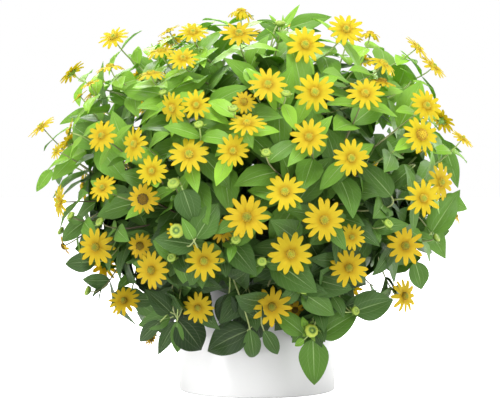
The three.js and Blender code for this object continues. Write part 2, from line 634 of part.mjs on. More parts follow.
// A shoot with three sides, its leaves growing out of its faces, and its bloom, bud or leaf growing out of its end
function shootSolid(shoot, own) {
  const shape = { points: [], triangles: [] };
  const { curve, length, kind, axis, place, width } = shoot;
  const third = 2 * Math.PI / SHOOT_SIDES;
  const joints = [...shoot.joints].sort((one, two) => one.along - two.along);
  let phase = shoot.turn; // turned by its number, so that no two feet lie alike
  let last = { middle: curve.getPoint(0), tangent: curve.getTangent(0) };
  let ring = addRing(shape, last.middle, last.tangent, SHOOT_FOOT_RADIUS, SHOOT_SIDES, phase);
  cap(shape, ring, false);
  // Adds a ring that is turned like the last one, or as near to that as a wanted phase lets one of its thirds be
  const extend = (middle, tangent, radius, wanted = null) => {
    const [side, other] = square(tangent);
    const bend = new THREE.Quaternion().setFromUnitVectors(last.tangent, tangent);
    const spoke = shape.points[ring[0]].clone().sub(last.middle).applyQuaternion(bend);
    const carried = Math.atan2(spoke.dot(other), spoke.dot(side));
    phase = wanted === null ? carried : wanted + third * Math.round((carried - wanted) / third);
    last = { middle, tangent };
    return addRing(shape, middle, tangent, radius, SHOOT_SIDES, phase);
  };
  const join = (...next) => {
    const ahead = extend(...next);
    bridge(shape, ring, ahead);
    ring = ahead;
  };
  const firstAlong = joints.length > 0 ? joints[0].along : 1;
  const below = Math.ceil(firstAlong * length / (shoot.hangs ? HANGING_STRETCH : SHOOT_STRETCH));
  for (let step = 1; step < below; step += 1) {
    const along = firstAlong * step / below;
    join(curve.getPoint(along), curve.getTangent(along), SHOOT_RADIUS);
  }
  for (const { along, angle, leaves } of joints) {
    const tangent = curve.getTangent(along);
    const [side, other] = square(tangent);
    const middle = curve.getPoint(along);
    const facing = angle - CORNER_TURN - third / 2;
    join(middle.clone().addScaledVector(tangent, -JOINT_HALF), tangent, SHOOT_RADIUS, facing);
    const ahead = extend(middle.clone().addScaledVector(tangent, JOINT_HALF), tangent, SHOOT_RADIUS);
    const faceOf = (blade) => {
      const turns = ring.map((_, index) => {
        const turn = phase + third * (index + 0.5);
        return blade.heading.dot(side) * Math.cos(turn) + blade.heading.dot(other) * Math.sin(turn);
      });
      return turns.indexOf(Math.max(...turns));
    };
    ring.forEach((corner, index) => {
      const beside = (index + 1) % SHOOT_SIDES;
      const face = [corner, ring[beside], ahead[beside], ahead[index]];
      const blade = leaves.find((leafBlade) => faceOf(leafBlade) === index);
      if (blade) {
        addBlade(shape, face, blade);
      } else {
        cap(shape, face, true);
      }
    });
    ring = ahead;
  }
  if (kind === 'bloom' && own) {
    join(curve.getPoint(1).addScaledVector(axis, -BLOOM_GAP), axis, CALYX_RADIUS);
    cap(shape, ring, true);
  } else if (kind === 'bloom') {
    join(curve.getPoint(1).addScaledVector(axis, -BLOOM_GAP), axis, SHOOT_RADIUS);
    const rays = rayRing(shape, shoot);
    bridge(shape, ring, rays);
    close(shape, rays, addPoint(shape, place.clone().addScaledVector(axis, DOME_SHARE * width / 2)));
  } else if (kind === 'bud') {
    join(place.clone().addScaledVector(axis, -BUD_FOOT * width), axis, SHOOT_RADIUS);
    const round = addRing(shape, place, axis, width / 2, BUD_SIDES);
    bridge(shape, ring, round);
    close(shape, round, addPoint(shape, place.clone().addScaledVector(axis, BUD_TOP * width)));
  } else {
    join(place.clone().addScaledVector(axis, -JOINT_HALF), axis, SHOOT_RADIUS);
    addBlade(shape, ring, shoot.leaves[0]);
  }
  return solid(shape);
}

// Scraps and sealed hollows that joining leaves behind are separate shells of less volume
function largestBody(body) {
  return body.decompose().sort((one, two) => two.volume() - one.volume())[0];
}

// Merges corners that lie closer together than the finest detail, and drops the faces that this flattens or that
// then lie back to back
function weld(body) {
  const { vertProperties, triVerts } = body.getMesh();
  const points = [];
  const merged = [];
  for (let corner = 0; corner < vertProperties.length; corner += 3) {
    const point = new THREE.Vector3().fromArray(vertProperties, corner);
    const known = points.findIndex((other) => other.distanceTo(point) < WELD);
    merged.push(known < 0 ? points.push(point) - 1 : known);
  }
  const faces = new Map();
  for (let corner = 0; corner < triVerts.length; corner += 3) {
    const [a, b, c] = Array.from(triVerts.slice(corner, corner + 3), (index) => merged[index]);
    const name = [a, b, c].sort((one, two) => one - two).join(' ');
    if (faces.has(name)) {
      faces.delete(name);
    } else if (a !== b && b !== c && c !== a) {
      faces.set(name, [a, b, c]);
    }
  }
  return solid({ points, triangles: [...faces.values()] });
}

function toMesh(name, body, colour, roughness) {
  const { vertProperties, triVerts } = largestBody(weld(largestBody(body))).getMesh();
  const geometry = new THREE.BufferGeometry();
  geometry.setAttribute('position', new THREE.BufferAttribute(new Float32Array(vertProperties), 3));
  geometry.setIndex(new THREE.BufferAttribute(new Uint32Array(triVerts), 1));
  geometry.computeVertexNormals();
  const mesh = new THREE.Mesh(geometry, new THREE.MeshStandardMaterial({ color: colour, roughness, metalness: 0 }));
  mesh.name = name;
  return mesh;
}

// A solid turned from a profile of [radius, height] points that starts and ends on the axis
function turned(profile) {
  const points = [];
  const triangles = [];
  const rings = profile.map(([radius, height]) => {
    const first = points.length;
    const count = radius === 0 ? 1 : POT_SIDES;
    for (let corner = 0; corner < count; corner += 1) {
      const angle = 2 * Math.PI * corner / POT_SIDES;
      points.push(new THREE.Vector3(radius * Math.cos(angle), radius * Math.sin(angle), height));
    }
    return { first, count };
  });
  for (let ring = 1; ring < rings.length; ring += 1) {
    const low = rings[ring - 1];
    const high = rings[ring];
    for (let corner = 0; corner < POT_SIDES; corner += 1) {
      const next = (corner + 1) % POT_SIDES;
      if (low.count > 1) {
        triangles.push([low.first + corner, low.first + next, high.first + (high.count > 1 ? next : 0)]);
      }
      if (high.count > 1) {
        triangles.push([low.first + (low.count > 1 ? corner : 0), high.first + next, high.first + corner]);
      }
    }
  }
  return solid({ points, triangles });
}

function pot() {
  const inner = POT_RADIUS - POT_WALL;
  const corner = POT_CORNER;
  const bend = corner * (1 - Math.SQRT1_2);
  return turned([
    [0, 0], [POT_RADIUS - corner, 0], [POT_RADIUS - bend, bend], [POT_RADIUS, corner],
    [POT_RADIUS, POT_HEIGHT - RIM_BEVEL], [POT_RADIUS - RIM_BEVEL, POT_HEIGHT],
    [inner + RIM_BEVEL, POT_HEIGHT], [inner, POT_HEIGHT - RIM_BEVEL], [inner, POT_FLOOR], [0, POT_FLOOR]]);
}

// The soil fills the pot, and has a plain hole for each main stem's foot
function soil(mains) {
  const radius = POT_RADIUS - POT_WALL - SOIL_GAP;
  let body = turned([
    [0, POT_FLOOR + SOIL_GAP], [radius, POT_FLOOR + SOIL_GAP], [radius, SOIL_TOP - SOIL_EDGE.down],
    [radius - SOIL_EDGE.inward, SOIL_TOP], [0, SOIL_TOP + SOIL_CROWN]]);
  for (const { curve } of mains) {
    const foot = curve.getPoint(0);
    const through = curve.getPoint(1 / MAIN_STEPS);
    const hole = new THREE.LineCurve3(foot.clone().setZ(foot.z - SOIL_GAP), through);
    body = body.subtract(stemSolid(hole, 1, MAIN_SIDES, () => MAIN_FOOT_RADIUS + HOLE_ROOM));
  }
  return body;
}

function plant() {
  const { mains, shoots, widest } = grow();
  const group = new THREE.Group();
  group.add(toMesh('pot', pot(), 0xf2f2f1, 0.4));
  group.add(toMesh('soil', soil(mains), 0x3a2a1e, 0.95));
  const bodies = mains.map(({ curve }) => stemSolid(curve, MAIN_STEPS, MAIN_SIDES,
    (along) => MAIN_FOOT_RADIUS + (MAIN_TIP_RADIUS - MAIN_FOOT_RADIUS) * along));
  for (const shoot of shoots) {
    bodies[shoot.main] = bodies[shoot.main].add(shootSolid(shoot, widest.includes(shoot)));
  }
  bodies.forEach((body, index) => {
    group.add(toMesh(`leafy_stem_${index + 1}`, body, 0x5a9a3c, 0.6));
  });
  widest.forEach((shoot, index) => {
    group.add(toMesh(`bloom_${String(index + 1).padStart(2, '0')}`, bloomSolid(shoot), 0xf8d02c, 0.7));
  });
  return group;
}

export default plant();
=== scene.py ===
"""A creeping zinnia in a plain round pot: a mound of leafy stems with yellow blooms.

The plant is laid out in millimetres by the same rules and the same seeded draws as its solids, so every
stem, leaf and bloom lies where its solid lies. Meshes are written in metres. +Z is up, -Y is the side that is
looked at, and the origin is the middle of the pot's underside.
"""
import logging
import math
from dataclasses import dataclass, field, replace
from enum import Enum, IntEnum
from typing import Sequence

import bpy
import numpy as np
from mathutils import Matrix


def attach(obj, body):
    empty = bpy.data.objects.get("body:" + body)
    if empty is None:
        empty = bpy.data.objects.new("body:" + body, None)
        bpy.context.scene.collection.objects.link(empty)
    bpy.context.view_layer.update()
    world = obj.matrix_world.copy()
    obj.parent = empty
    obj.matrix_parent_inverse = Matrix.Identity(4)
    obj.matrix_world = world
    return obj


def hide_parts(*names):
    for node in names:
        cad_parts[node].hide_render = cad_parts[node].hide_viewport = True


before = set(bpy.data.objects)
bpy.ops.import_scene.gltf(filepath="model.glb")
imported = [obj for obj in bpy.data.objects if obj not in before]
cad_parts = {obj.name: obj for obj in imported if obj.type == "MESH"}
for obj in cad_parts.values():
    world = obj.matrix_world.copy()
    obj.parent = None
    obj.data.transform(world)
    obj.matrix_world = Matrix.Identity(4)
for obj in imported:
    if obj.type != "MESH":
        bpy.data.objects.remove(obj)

Array = np.ndarray
Socket = bpy.types.NodeSocket
Colour = tuple[float, float, float]
Place = tuple[float, float, float]
LeafRow = tuple[Place, Place, float, float]
Profile = tuple[tuple[float, float], ...]
Range = tuple[float, float]
Row = tuple[float, ...]
Random = np.random.Generator
Ways = tuple[Array, Array]
Grid = tuple[Array, Array, Array, Array]
Stops = tuple[tuple[float, Colour], ...]
log = logging.getLogger("zinnia")

MM = 0.001
DEG = math.pi / 180
GOLDEN_TURN = math.pi * (3 - math.sqrt(5))
GOLDEN_SHARE = 0.618034
ORIGIN = np.zeros(3)
UP = np.array([0.0, 0.0, 1.0])
FRONT = np.array([0.0, -1.0, 0.0])
UPRIGHT = 1e-6  # squared level part of an axis that counts as upright
SEED = 4127
BLOOM_SEED = 100  # added to the seed and a bloom's number
BODY = "root"


class Kind(Enum):
    """What a shoot ends in."""

    BLOOM = "bloom"
    BUD = "bud"
    LEAF = "leaf"
    TIP = "tip"


class Part(IntEnum):
    """The number of each finish in a piece that holds blooms."""

    RAY = 0
    DISC = 1
    GREEN = 2


class StalkPart(IntEnum):
    """The number of each finish in a piece that holds stems and buds."""

    STEM = 0
    GREEN = 1


@dataclass(frozen=True)
class Stage:
    """A bloom's stage: the rays' rise, droop and reach and the disc's radius are shares of its radius.

    Browning is how brown the disc is, and fading how much the rays have turned to orange.
    """

    rise: float
    droop: float
    reach: float
    disc: float
    browning: float
    fading: float = 0.0


class Age(Enum):
    """How far a bloom is."""

    OPENING = Stage(rise=0.35, droop=0.0, reach=0.95, disc=0.20, browning=0.0)
    FRESH = Stage(rise=0.05, droop=0.08, reach=1.0, disc=0.19, browning=0.0)
    RIPE = Stage(rise=0.02, droop=0.12, reach=1.0, disc=0.27, browning=0.42)
    FADED = Stage(rise=0.0, droop=0.16, reach=0.98, disc=0.26, browning=0.32, fading=0.4)
    OLD = Stage(rise=0.0, droop=0.18, reach=0.98, disc=0.30, browning=0.80, fading=0.3)
    WIDE = Stage(rise=0.06, droop=0.28, reach=1.0, disc=0.24, browning=0.04)
    HANGING = Stage(rise=0.10, droop=0.58, reach=1.0, disc=0.30, browning=0.08)


# Blooms on the front: column and row of the middle, width across the rays in mm, where the face looks (turn
# to the right and tip upward, in degrees), and how much deeper than the mound's face it sits, in mm
FRONT_BLOOMS = [
    (114, 38, 25, -25, 45, 0), (169, 31, 17, -60, 60, 0), (193, 33, 22, 0, 45, 0),
    (162, 51, 24, -10, 68, 0), (183, 59, 22, 0, 42, 0), (241, 12, 21, 10, 80, 30),
    (239, 34, 27, 0, 44, 0), (151, 74, 22, -20, 68, 0), (110, 67, 22, -60, 78, 0),
    (72, 73, 24, -110, 45, 0), (90, 84, 16, -60, 60, 14), (80, 96, 14, -80, 50, 18),
    (173, 108, 24, -45, -10, 0), (196, 105, 21, 8, 10, 0), (42, 127, 25, -60, 48, 0),
    (69, 132, 20, -85, 15, 0), (57, 151, 14, -50, 20, 16), (102, 136, 24, -25, 20, 0),
    (135, 144, 25, -45, 5, 0), (189, 155, 29, -5, 30, 0), (233, 151, 23, 0, 10, 0),
    (152, 171, 22, -10, 5, 0), (143, 199, 23, -10, -5, 0), (103, 188, 21, -25, 25, 0),
    (60, 202, 25, -62, 0, 0), (305, 45, 28, 5, 15, 0), (346, 30, 26, 5, 28, 0), (370, 34, 17, 60, 84, 26),
    (417, 48, 23, 61, 38, 0), (433, 67, 25, 57, 42, 0), (383, 64, 24, 54, 50, 0),
    (382, 82, 22, 40, 72, 16), (268, 85, 27, 0, 30, 0), (315, 92, 28, 0, 5, 0), (365, 94, 27, 10, 33, 0),
    (426, 106, 26, 25, 20, 0), (421, 135, 27, 20, 10, 0), (309, 137, 26, 0, 15, 0),
    (351, 158, 26, 15, 0, 0), (462, 139, 19, 52, 50, 0), (440, 182, 28, 45, 0, 0),
    (423, 198, 27, 15, 0, -12), (285, 192, 28, 0, 22, 0), (244, 102, 18, 0, 20, 14),
    (247, 124, 26, 0, 52, 0), (96, 247, 29, -20, 0, 0), (64, 246, 18, -85, -25, 0),
    (140, 246, 20, -15, 0, 12), (152, 270, 28, -30, 0, 0), (204, 261, 28, 0, 0, 0),
    (124, 301, 24, -15, 30, 0), (198, 308, 23, -5, 0, 0), (151, 339, 13, 45, -20, 0),
    (177, 231, 14, -10, 10, 0), (222, 231, 18, 10, 10, 20), (247, 217, 31, 0, 5, 0),
    (324, 220, 30, 10, 0, 0), (352, 237, 19, 0, 0, 4), (291, 254, 31, 0, 0, 0), (349, 268, 27, 5, 10, 0),
    (405, 246, 29, 15, 10, 0), (404, 296, 28, 45, 5, 0), (272, 307, 29, 0, 5, 0),
    (456, 216, 14, 70, 20, 10), (295, 310, 16, 5, 0, 18),
]
AGES = {
    Age.FADED: [(382, 82), (64, 246), (140, 246), (222, 231), (295, 310), (151, 339), (244, 102)],
    Age.OLD: [(143, 199)],
    Age.RIPE: [(421, 135)],
    Age.WIDE: [(162, 51), (110, 67), (151, 74), (383, 64)],
    Age.HANGING: [(241, 12), (370, 34)],
    Age.OPENING: [(177, 231)],
}

# Buds on the front: column and row, width in mm, and how much deeper than the mound's face it sits, in mm
FRONT_BUDS = [
    (280, 24, 7, 0), (163, 93, 5, 0), (233, 109, 6, 0), (199, 125, 6, 0), (286, 94, 6, 0),
    (266, 153, 6, 0), (174, 184, 8, 0), (71, 216, 6, 0), (61, 231, 6, 0), (100, 222, 6, 0),
    (88, 291, 7, -20), (236, 240, 6, 0), (262, 262, 6, 0), (172, 258, 6, 0), (303, 289, 7, 0),
    (436, 238, 6, 0), (355, 311, 6, -18), (388, 224, 6, 0), (311, 331, 9, -27),
]

# Large leaves that hang or stand out by themselves on the front: column, row and distance before the pot's
# axis of the root, then of the tip, and the width, in mm; and how lit the leaf is painted, dark for deep
# shade
FRONT_LEAVES = [
    ((313, 339, 90), (315, 388, 80), 20, 0.44), ((353, 312, 92), (394, 297, 86), 20, 0.3),
    ((320, 336, 88), (354, 312, 96), 18, 0.42), ((290, 28, 20), (328, 14, 26), 13, 0.62),
    ((281, 31, 8), (299, 3, 2), 9, 0.9), ((85, 147, 34), (50, 176, 40), 15, 0.75),
    ((52, 170, 20), (34, 190, 22), 8, 0.7), ((170, 318, 84), (137, 324, 78), 14, 0.36),
    ((170, 312, 92), (150, 292, 104), 14, 0.1), ((178, 320, 90), (207, 354, 80), 23, 0.02),
    ((247, 331, 92), (201, 350, 84), 22, 0.05), ((250, 330, 98), (256, 368, 84), 12, 0.32),
    ((264, 331, 102), (281, 357, 94), 10, 0.25), ((442, 200, 34), (470, 207, 30), 13, 0.6),
    ((426, 226, 40), (448, 258, 36), 15, 0.5), ((415, 262, 44), (425, 293, 40), 14, 0.4),
    ((84, 222, 36), (57, 240, 32), 13, 0.4), ((96, 262, 36), (64, 262, 30), 15, 0.25),
]

# More leaves on the front, which the solids leave out: the same four values
FURTHER_LEAVES = [
    ((303, 334, 96), (277, 311, 100), 14, 0.5), ((302, 293, 106), (336, 313, 106), 17, 0.42),
    ((432, 232, 44), (459, 190, 42), 18, 0.5), ((446, 150, 22), (459, 186, 22), 11, 0.5),
    ((160, 322, 84), (133, 343, 78), 10, 0.1), ((176, 322, 88), (153, 358, 80), 10, 0.12),
    ((177, 322, 92), (177, 357, 84), 9, 0.38), ((92, 110, 16), (56, 121, 12), 8, 0.7),
    ((278, 30, 14), (258, 19, 12), 8, 0.5), ((279, 31, 16), (256, 38, 18), 10, 0.6),
    ((280, 31, 16), (284, 50, 20), 9, 0.7), ((279, 28, 10), (269, 12, 8), 5, 0.9),
    ((300, 30, 20), (320, 30, 22), 4, 0.5), ((133, 140, 60), (150, 158, 64), 12, 0.5),
    ((283, 28, 14), (283, 13, 12), 3, 0.9), ((183, 190, 150), (195, 223, 150), 17, 0.3),
    ((196, 238, 144), (216, 204, 146), 18, 0.35), ((193, 239, 148), (183, 219, 152), 8, 0.5),
    ((304, 340, 98), (294, 346, 96), 5, 0.7), ((306, 328, 96), (303, 318, 99), 5, 0.8),
    ((136, 80, 80), (116, 84, 90), 15, 0.8), ((160, 94, 120), (117, 84, 96), 15, 0.7),
    ((166, 92, 122), (207, 74, 118), 16, 0.72), ((252, 84, 140), (246, 61, 128), 8, 0.8),
]

# Leaves that close gaps in the front, put in after all others: the same four values
LAST_LEAVES = [
    ((391, 196, 108), (364, 162, 112), 16, 0.36), ((371, 186, 106), (390, 224, 108), 18, 0.12),
    ((412, 168, 88), (388, 186, 104), 13, 0.4), ((229, 294, 98), (221, 328, 92), 15, 0.04),
    ((246, 300, 90), (240, 338, 84), 15, 0.05), ((369, 158, 84), (385, 128, 76), 18, 0.42),
]

# Spots between the leaves where the backdrop shows through, and where only the plant's shady inside does:
# column, row and radius in the photo's pixels
OPEN_SPOTS = [
    (206, 38, 7), (222, 57, 4), (232, 57, 5), (242, 55, 4), (266, 45, 5), (273, 42, 4), (279, 58, 4),
    (247, 76, 3), (120, 97, 4), (141, 99, 4), (147, 106, 5), (110, 113, 4), (213, 45, 4), (398, 79, 4),
    (357, 108, 4), (277, 132, 3), (126, 168, 5), (82, 200, 5), (380, 255, 4), (374, 282, 6),
    (198, 324, 5), (412, 262, 3), (265, 11, 4),
]
SHADY_SPOTS = [
    (204, 178, 9), (192, 196, 7), (118, 212, 9), (158, 216, 7), (270, 165, 8), (228, 96, 6),
    (140, 112, 6), (225, 300, 10), (215, 285, 7), (245, 285, 6), (165, 284, 6), (258, 240, 6),
    (314, 255, 6), (340, 205, 7), (390, 200, 7), (300, 180, 6), (190, 215, 6), (240, 320, 7),
    (330, 300, 6), (368, 250, 6), (205, 128, 6),
]


def unit(vectors: Array) -> Array:
    """Vectors scaled to a length of 1, along the last axis."""
    return vectors / np.linalg.norm(vectors, axis=-1, keepdims=True)


def direction(turn: float, rise: float) -> Array:
    """A direction from its turn (0 is to the front, positive to the right) and its rise, in degrees."""
    flat = math.cos(rise * DEG)
    return np.array([math.sin(turn * DEG) * flat, -math.cos(turn * DEG) * flat, math.sin(rise * DEG)])


def square(axes: Array) -> tuple[Array, Array]:
    """Two directions square to each axis: a level one, and one a quarter turn further round the axis."""
    level = np.stack([-axes[..., 1], axes[..., 0], np.zeros(axes.shape[:-1])], axis=-1)
    upright = (level**2).sum(-1, keepdims=True) < UPRIGHT
    side = unit(np.where(upright, np.array([1.0, 0.0, 0.0]), level))
    return side, np.cross(axes, side)


def spokes(axis: Array, angles: Array) -> tuple[Array, Array]:
    """Directions square to an axis at angles round it, and the ways round the axis there."""
    side, other = square(axis)
    return side * np.cos(angles) + other * np.sin(angles), other * np.cos(angles) - side * np.sin(angles)


def smooth(low: float, high: float, values: Array) -> Array:
    """An even S from 0 at low to 1 at high."""
    share = np.clip((values - low) / (high - low), 0, 1)
    return share * share * (3 - 2 * share)


class Draws:
    """Seeded draws from 0 to 1: a 32-bit counter whose bits are mixed twice."""

    MASK = 0xFFFFFFFF
    STEP = 0x6D2B79F5

    def __init__(self, seed: int) -> None:
        """Starts the counter at the seed."""
        self.state = seed

    def __call__(self) -> float:
        """The next draw."""
        self.state = (self.state + self.STEP) & self.MASK
        mixed = ((self.state ^ (self.state >> 15)) * (1 | self.state)) & self.MASK
        again = ((mixed ^ (mixed >> 7)) * (61 | mixed)) & self.MASK
        mixed = ((mixed + again) & self.MASK) ^ mixed
        return (mixed ^ (mixed >> 14)) / (self.MASK + 1)


@dataclass(frozen=True)
class Eye:
    """The eye that the front's places were read from, in mm and in the photo's pixels."""

    distance: float = 1300
    height: float = 157
    pixels: float = 1680
    axis_column: float = 257
    horizon_row: float = 186
    columns: int = 500
    rows: int = 400
    sensor: float = 36
    sight: float = 100_000

    def place(self, column: float, row: float, before: float) -> Array:
        """The place seen at a column and row, this far before the pot's axis."""
        scale = (self.distance - before) / self.pixels
        height = self.height + (self.horizon_row - row) * scale
        return np.array([(column - self.axis_column) * scale, -before, height])

    def seen(self, places: Array) -> tuple[Array, Array, Array]:
        """The columns and rows that places are seen at, and how far they are before the pot's axis."""
        scale = (self.distance + places[..., 1]) / self.pixels
        columns = self.axis_column + places[..., 0] / scale
        return columns, self.horizon_row - (places[..., 2] - self.height) / scale, -places[..., 1]

    def camera(self) -> None:
        """Puts the camera there, turned so that the axis and the horizon fall on their column and row."""
        data = bpy.data.cameras.new("camera")
        data.sensor_width = self.sensor
        data.lens = self.pixels / self.columns * self.sensor
        data.clip_end = self.sight * MM
        camera = bpy.data.objects.new("camera", data)
        camera.location = (0, -self.distance * MM, self.height * MM)
        left = math.atan((self.axis_column - self.columns / 2) / self.pixels)
        down = math.atan((self.rows / 2 - self.horizon_row) / self.pixels)
        camera.rotation_euler = (math.pi / 2 - down, 0, left)
        bpy.context.scene.collection.objects.link(camera)
        bpy.context.scene.camera = camera


@dataclass(frozen=True)
class Mound:
    """The mound that the blooms lie on: round in plan, flatter above its widest height than below it."""

    radius: float = 161
    middle: float = 185
    above: float = 113
    below: float = 156
    first_depth: float = 0.6
    depth_steps: int = 8

    def tall(self, height: float) -> float:
        """Half height of the part of the mound that a height lies in."""
        return self.above if height > self.middle else self.below

    def depth(self, eye: Eye, column: float, row: float) -> float:
        """How far the mound's face is before the axis at a column and row, or 0 past the mound."""
        before = self.radius * self.first_depth
        for _ in range(self.depth_steps):
            x, _, z = eye.place(column, row, before)
            left = 1 - (x / self.radius) ** 2 - ((z - self.middle) / self.tall(z)) ** 2
            before = self.radius * math.sqrt(max(left, 0))
        return before

    def outward(self, place: Array) -> Array:
        """The way out of the mound at a place."""
        x, y, z = place
        tall = self.tall(z)
        return unit(np.array([x / self.radius**2, y / self.radius**2, (z - self.middle) / tall**2]))

    def wound(self, index: int, count: int, shares: Place, sway: float = 0) -> tuple[float, Array]:
        """One of count places wound evenly round the mound by the golden turn.

        Args:
            index: the place's number.
            count: how many places there are.
            shares: how near to the face they lie: sideways, above the widest height, and below it.
            sway: how far this one is turned aside, in radians.

        Returns:
            The rise, from 1 at the top to -1 at the bottom, and the place.
        """
        level, above, below = shares
        rise = 1 - 2 * (index + 0.5) / count
        flat = math.sqrt(1 - rise**2) * self.radius * level
        turn = index * GOLDEN_TURN + sway
        tall = self.above * above if rise > 0 else self.below * below
        return rise, np.array([math.sin(turn) * flat, -math.cos(turn) * flat, self.middle + rise * tall])

    def nearness(self, places: Array) -> Array:
        """0 at the mound's middle, 1 on its face, for an array of places."""
        tall = np.where(places[..., 2] > self.middle, self.above, self.below)
        flat = (places[..., 0] ** 2 + places[..., 1] ** 2) / self.radius**2
        return np.sqrt(flat + ((places[..., 2] - self.middle) / tall) ** 2)


@dataclass(eq=False)
class Curve:
    """A cubic curve from its first to its last corner, pulled towards the two between."""

    STEP = 0.0001
    corners: Array

    def at(self, along: float | Array) -> Array:
        """Points at shares of the way along: the corners weighed by the cubic's four products."""
        share = np.asarray(along, float)[..., None]
        rest = 1 - share
        first, second, third, last = self.corners
        return (rest**3 * first + 3 * rest**2 * share * second + 3 * rest * share**2 * third
                + share**3 * last)

    def heading(self, along: float | Array) -> Array:
        """Directions at shares of the way along, from two points close before and behind."""
        share = np.asarray(along, float)
        return unit(self.at(np.minimum(share + self.STEP, 1)) - self.at(np.maximum(share - self.STEP, 0)))


@dataclass(eq=False)
class Blade:
    """A leaf's root, heading, upper side and sideways direction, with its length and width in mm.

    The three directions may be arrays, for leaves that share a root and a size.
    """

    root: Array
    heading: Array
    upper: Array
    side: Array
    length: float
    width: float
    painted_lightness: float | None = None


@dataclass(eq=False)
class End:
    """What a shoot ends in, its place, where it faces, and its width; and a leaf's tip and how lit it is
    painted.
    """

    kind: Kind
    place: Array
    axis: Array
    width: float
    age: Age = Age.FRESH
    tip: Array | None = None
    painted_lightness: float = 0


@dataclass(eq=False)
class Shoot:
    """A shoot from its main stem to its end, with the leaves on it."""

    end: End
    main: int
    curve: Curve
    length: float
    blades: list[Blade] = field(default_factory=list)


@dataclass(frozen=True)
class MainStem:
    """A main stem: turn round the pot from the front, rise of its aim, and distance of its foot."""

    turn: float
    rise: float
    foot: float


@dataclass(frozen=True)
class Pair:
    """A pair of leaves: how far below the shoot's end, and the leaves' length and width."""

    below: float
    length: float
    width: float


@dataclass
class Crowd:
    """Sample points that keep the plant's parts apart, each with its room and its owner.

    Attributes:
        pot_radius: the pot's radius, which leaves stay outside of below its rim.
        pot_height: the height of the pot's rim.
        reach: how far from its root a leaf can meet a point.
        own_reach: nearer to the root, points of the leaf's own shoot don't count.
        pot_room: the room round the pot.
        most: more room than this counts as this much.
    """

    pot_radius: float
    pot_height: float
    reach: float = 48
    own_reach: float = 13
    pot_room: float = 3.2
    most: float = 9

    def __post_init__(self) -> None:
        """Starts with no points."""
        self.points = np.empty((0, 3))
        self.rooms = np.empty(0)
        self.owners = np.empty(0, int)

    def claim(self, points: Array, room: float, owner: int) -> None:
        """Adds points.

        Args:
            points: the points.
            room: the room that they keep round them.
            owner: the number of their shoot, or of their main stem, counted down from -1.
        """
        points = points.reshape(-1, 3)
        self.points = np.concatenate([self.points, points])
        self.rooms = np.concatenate([self.rooms, np.full(len(points), room, float)])
        self.owners = np.concatenate([self.owners, np.full(len(points), owner)])

    def near(self, root: Array, owner: int) -> tuple[Array, Array]:
        """The points that a leaf at this root could meet, and their room."""
        apart = np.linalg.norm(self.points - root, axis=1)
        chosen = (apart < self.reach) & ((self.owners != owner) | (apart > self.own_reach))
        return self.points[chosen], self.rooms[chosen]

    def room(self, points: Array, near: tuple[Array, Array], own: float) -> Array:
        """The least room left round each leaf, less than nothing where it would meet something.

        Args:
            points: leaves × points × 3.
            near: the points near by, and their room.
            own: the room that the leaf's own points keep.

        Returns:
            One number for each leaf.
        """
        flat = points.reshape(-1, 3)
        beside = np.hypot(flat[:, 0], flat[:, 1]) - self.pot_radius - self.pot_room
        rooms = np.where(flat[:, 2] < self.pot_height + self.pot_room, beside, self.most)
        others, taken = near
        if len(others):
            squares = (flat**2).sum(1)[:, None] + (others**2).sum(1) - 2 * flat @ others.T
            rooms = np.minimum(rooms, (np.sqrt(np.maximum(squares, 0)) - taken).min(1) - own)
        return np.minimum(rooms, self.most).reshape(points.shape[:-1]).min(-1)


@dataclass(eq=False)
class Sights:
    """Round spots in the photo that leaves keep clear of.

    Attributes:
        columns: the spots' columns, as are rows and radii, in the photo's pixels.
        before: a leaf this far before the pot's axis, or further, would hide the spot.
        most: a leaf further away than this counts as this far.
    """

    columns: Array
    rows: Array
    radii: Array
    before: Array
    most: float = 9

    @classmethod
    def on(cls, layout: "Layout", bloom_share: float = 0.8, shady_depth: float = 45) -> "Sights":
        """The front's blooms and buds, the spots where the backdrop shows, and those where the inside does.

        Args:
            layout: the plant's layout.
            bloom_share: the share of a bloom's radius that is kept in sight.
            shady_depth: leaves deeper than this behind the mound's face may cover the shady inside.

        Returns:
            The spots.
        """
        eye, spots = layout.eye, []
        for shoot in layout.shoots[: len(FRONT_BLOOMS) + len(FRONT_BUDS)]:
            column, row, depth = eye.seen(shoot.end.place)
            scale = (eye.distance - depth) / eye.pixels
            spots.append((column, row, bloom_share * shoot.end.width / 2 / scale, depth + 1))
        spots += [(*spot, -math.inf) for spot in OPEN_SPOTS]
        spots += [(*spot, layout.mound.depth(eye, *spot[:2]) - shady_depth) for spot in SHADY_SPOTS]
        return cls(*np.array(spots, float).T)

    def clearance(self, eye: Eye, points: Array) -> Array:
        """How far each leaf's points are clear of the spots at least, in the photo's pixels."""
        columns, rows, before = (part[..., None] for part in eye.seen(points))
        apart = np.hypot(columns - self.columns, rows - self.rows) - self.radii
        return np.where(before > self.before, apart, self.most).min((-1, -2))


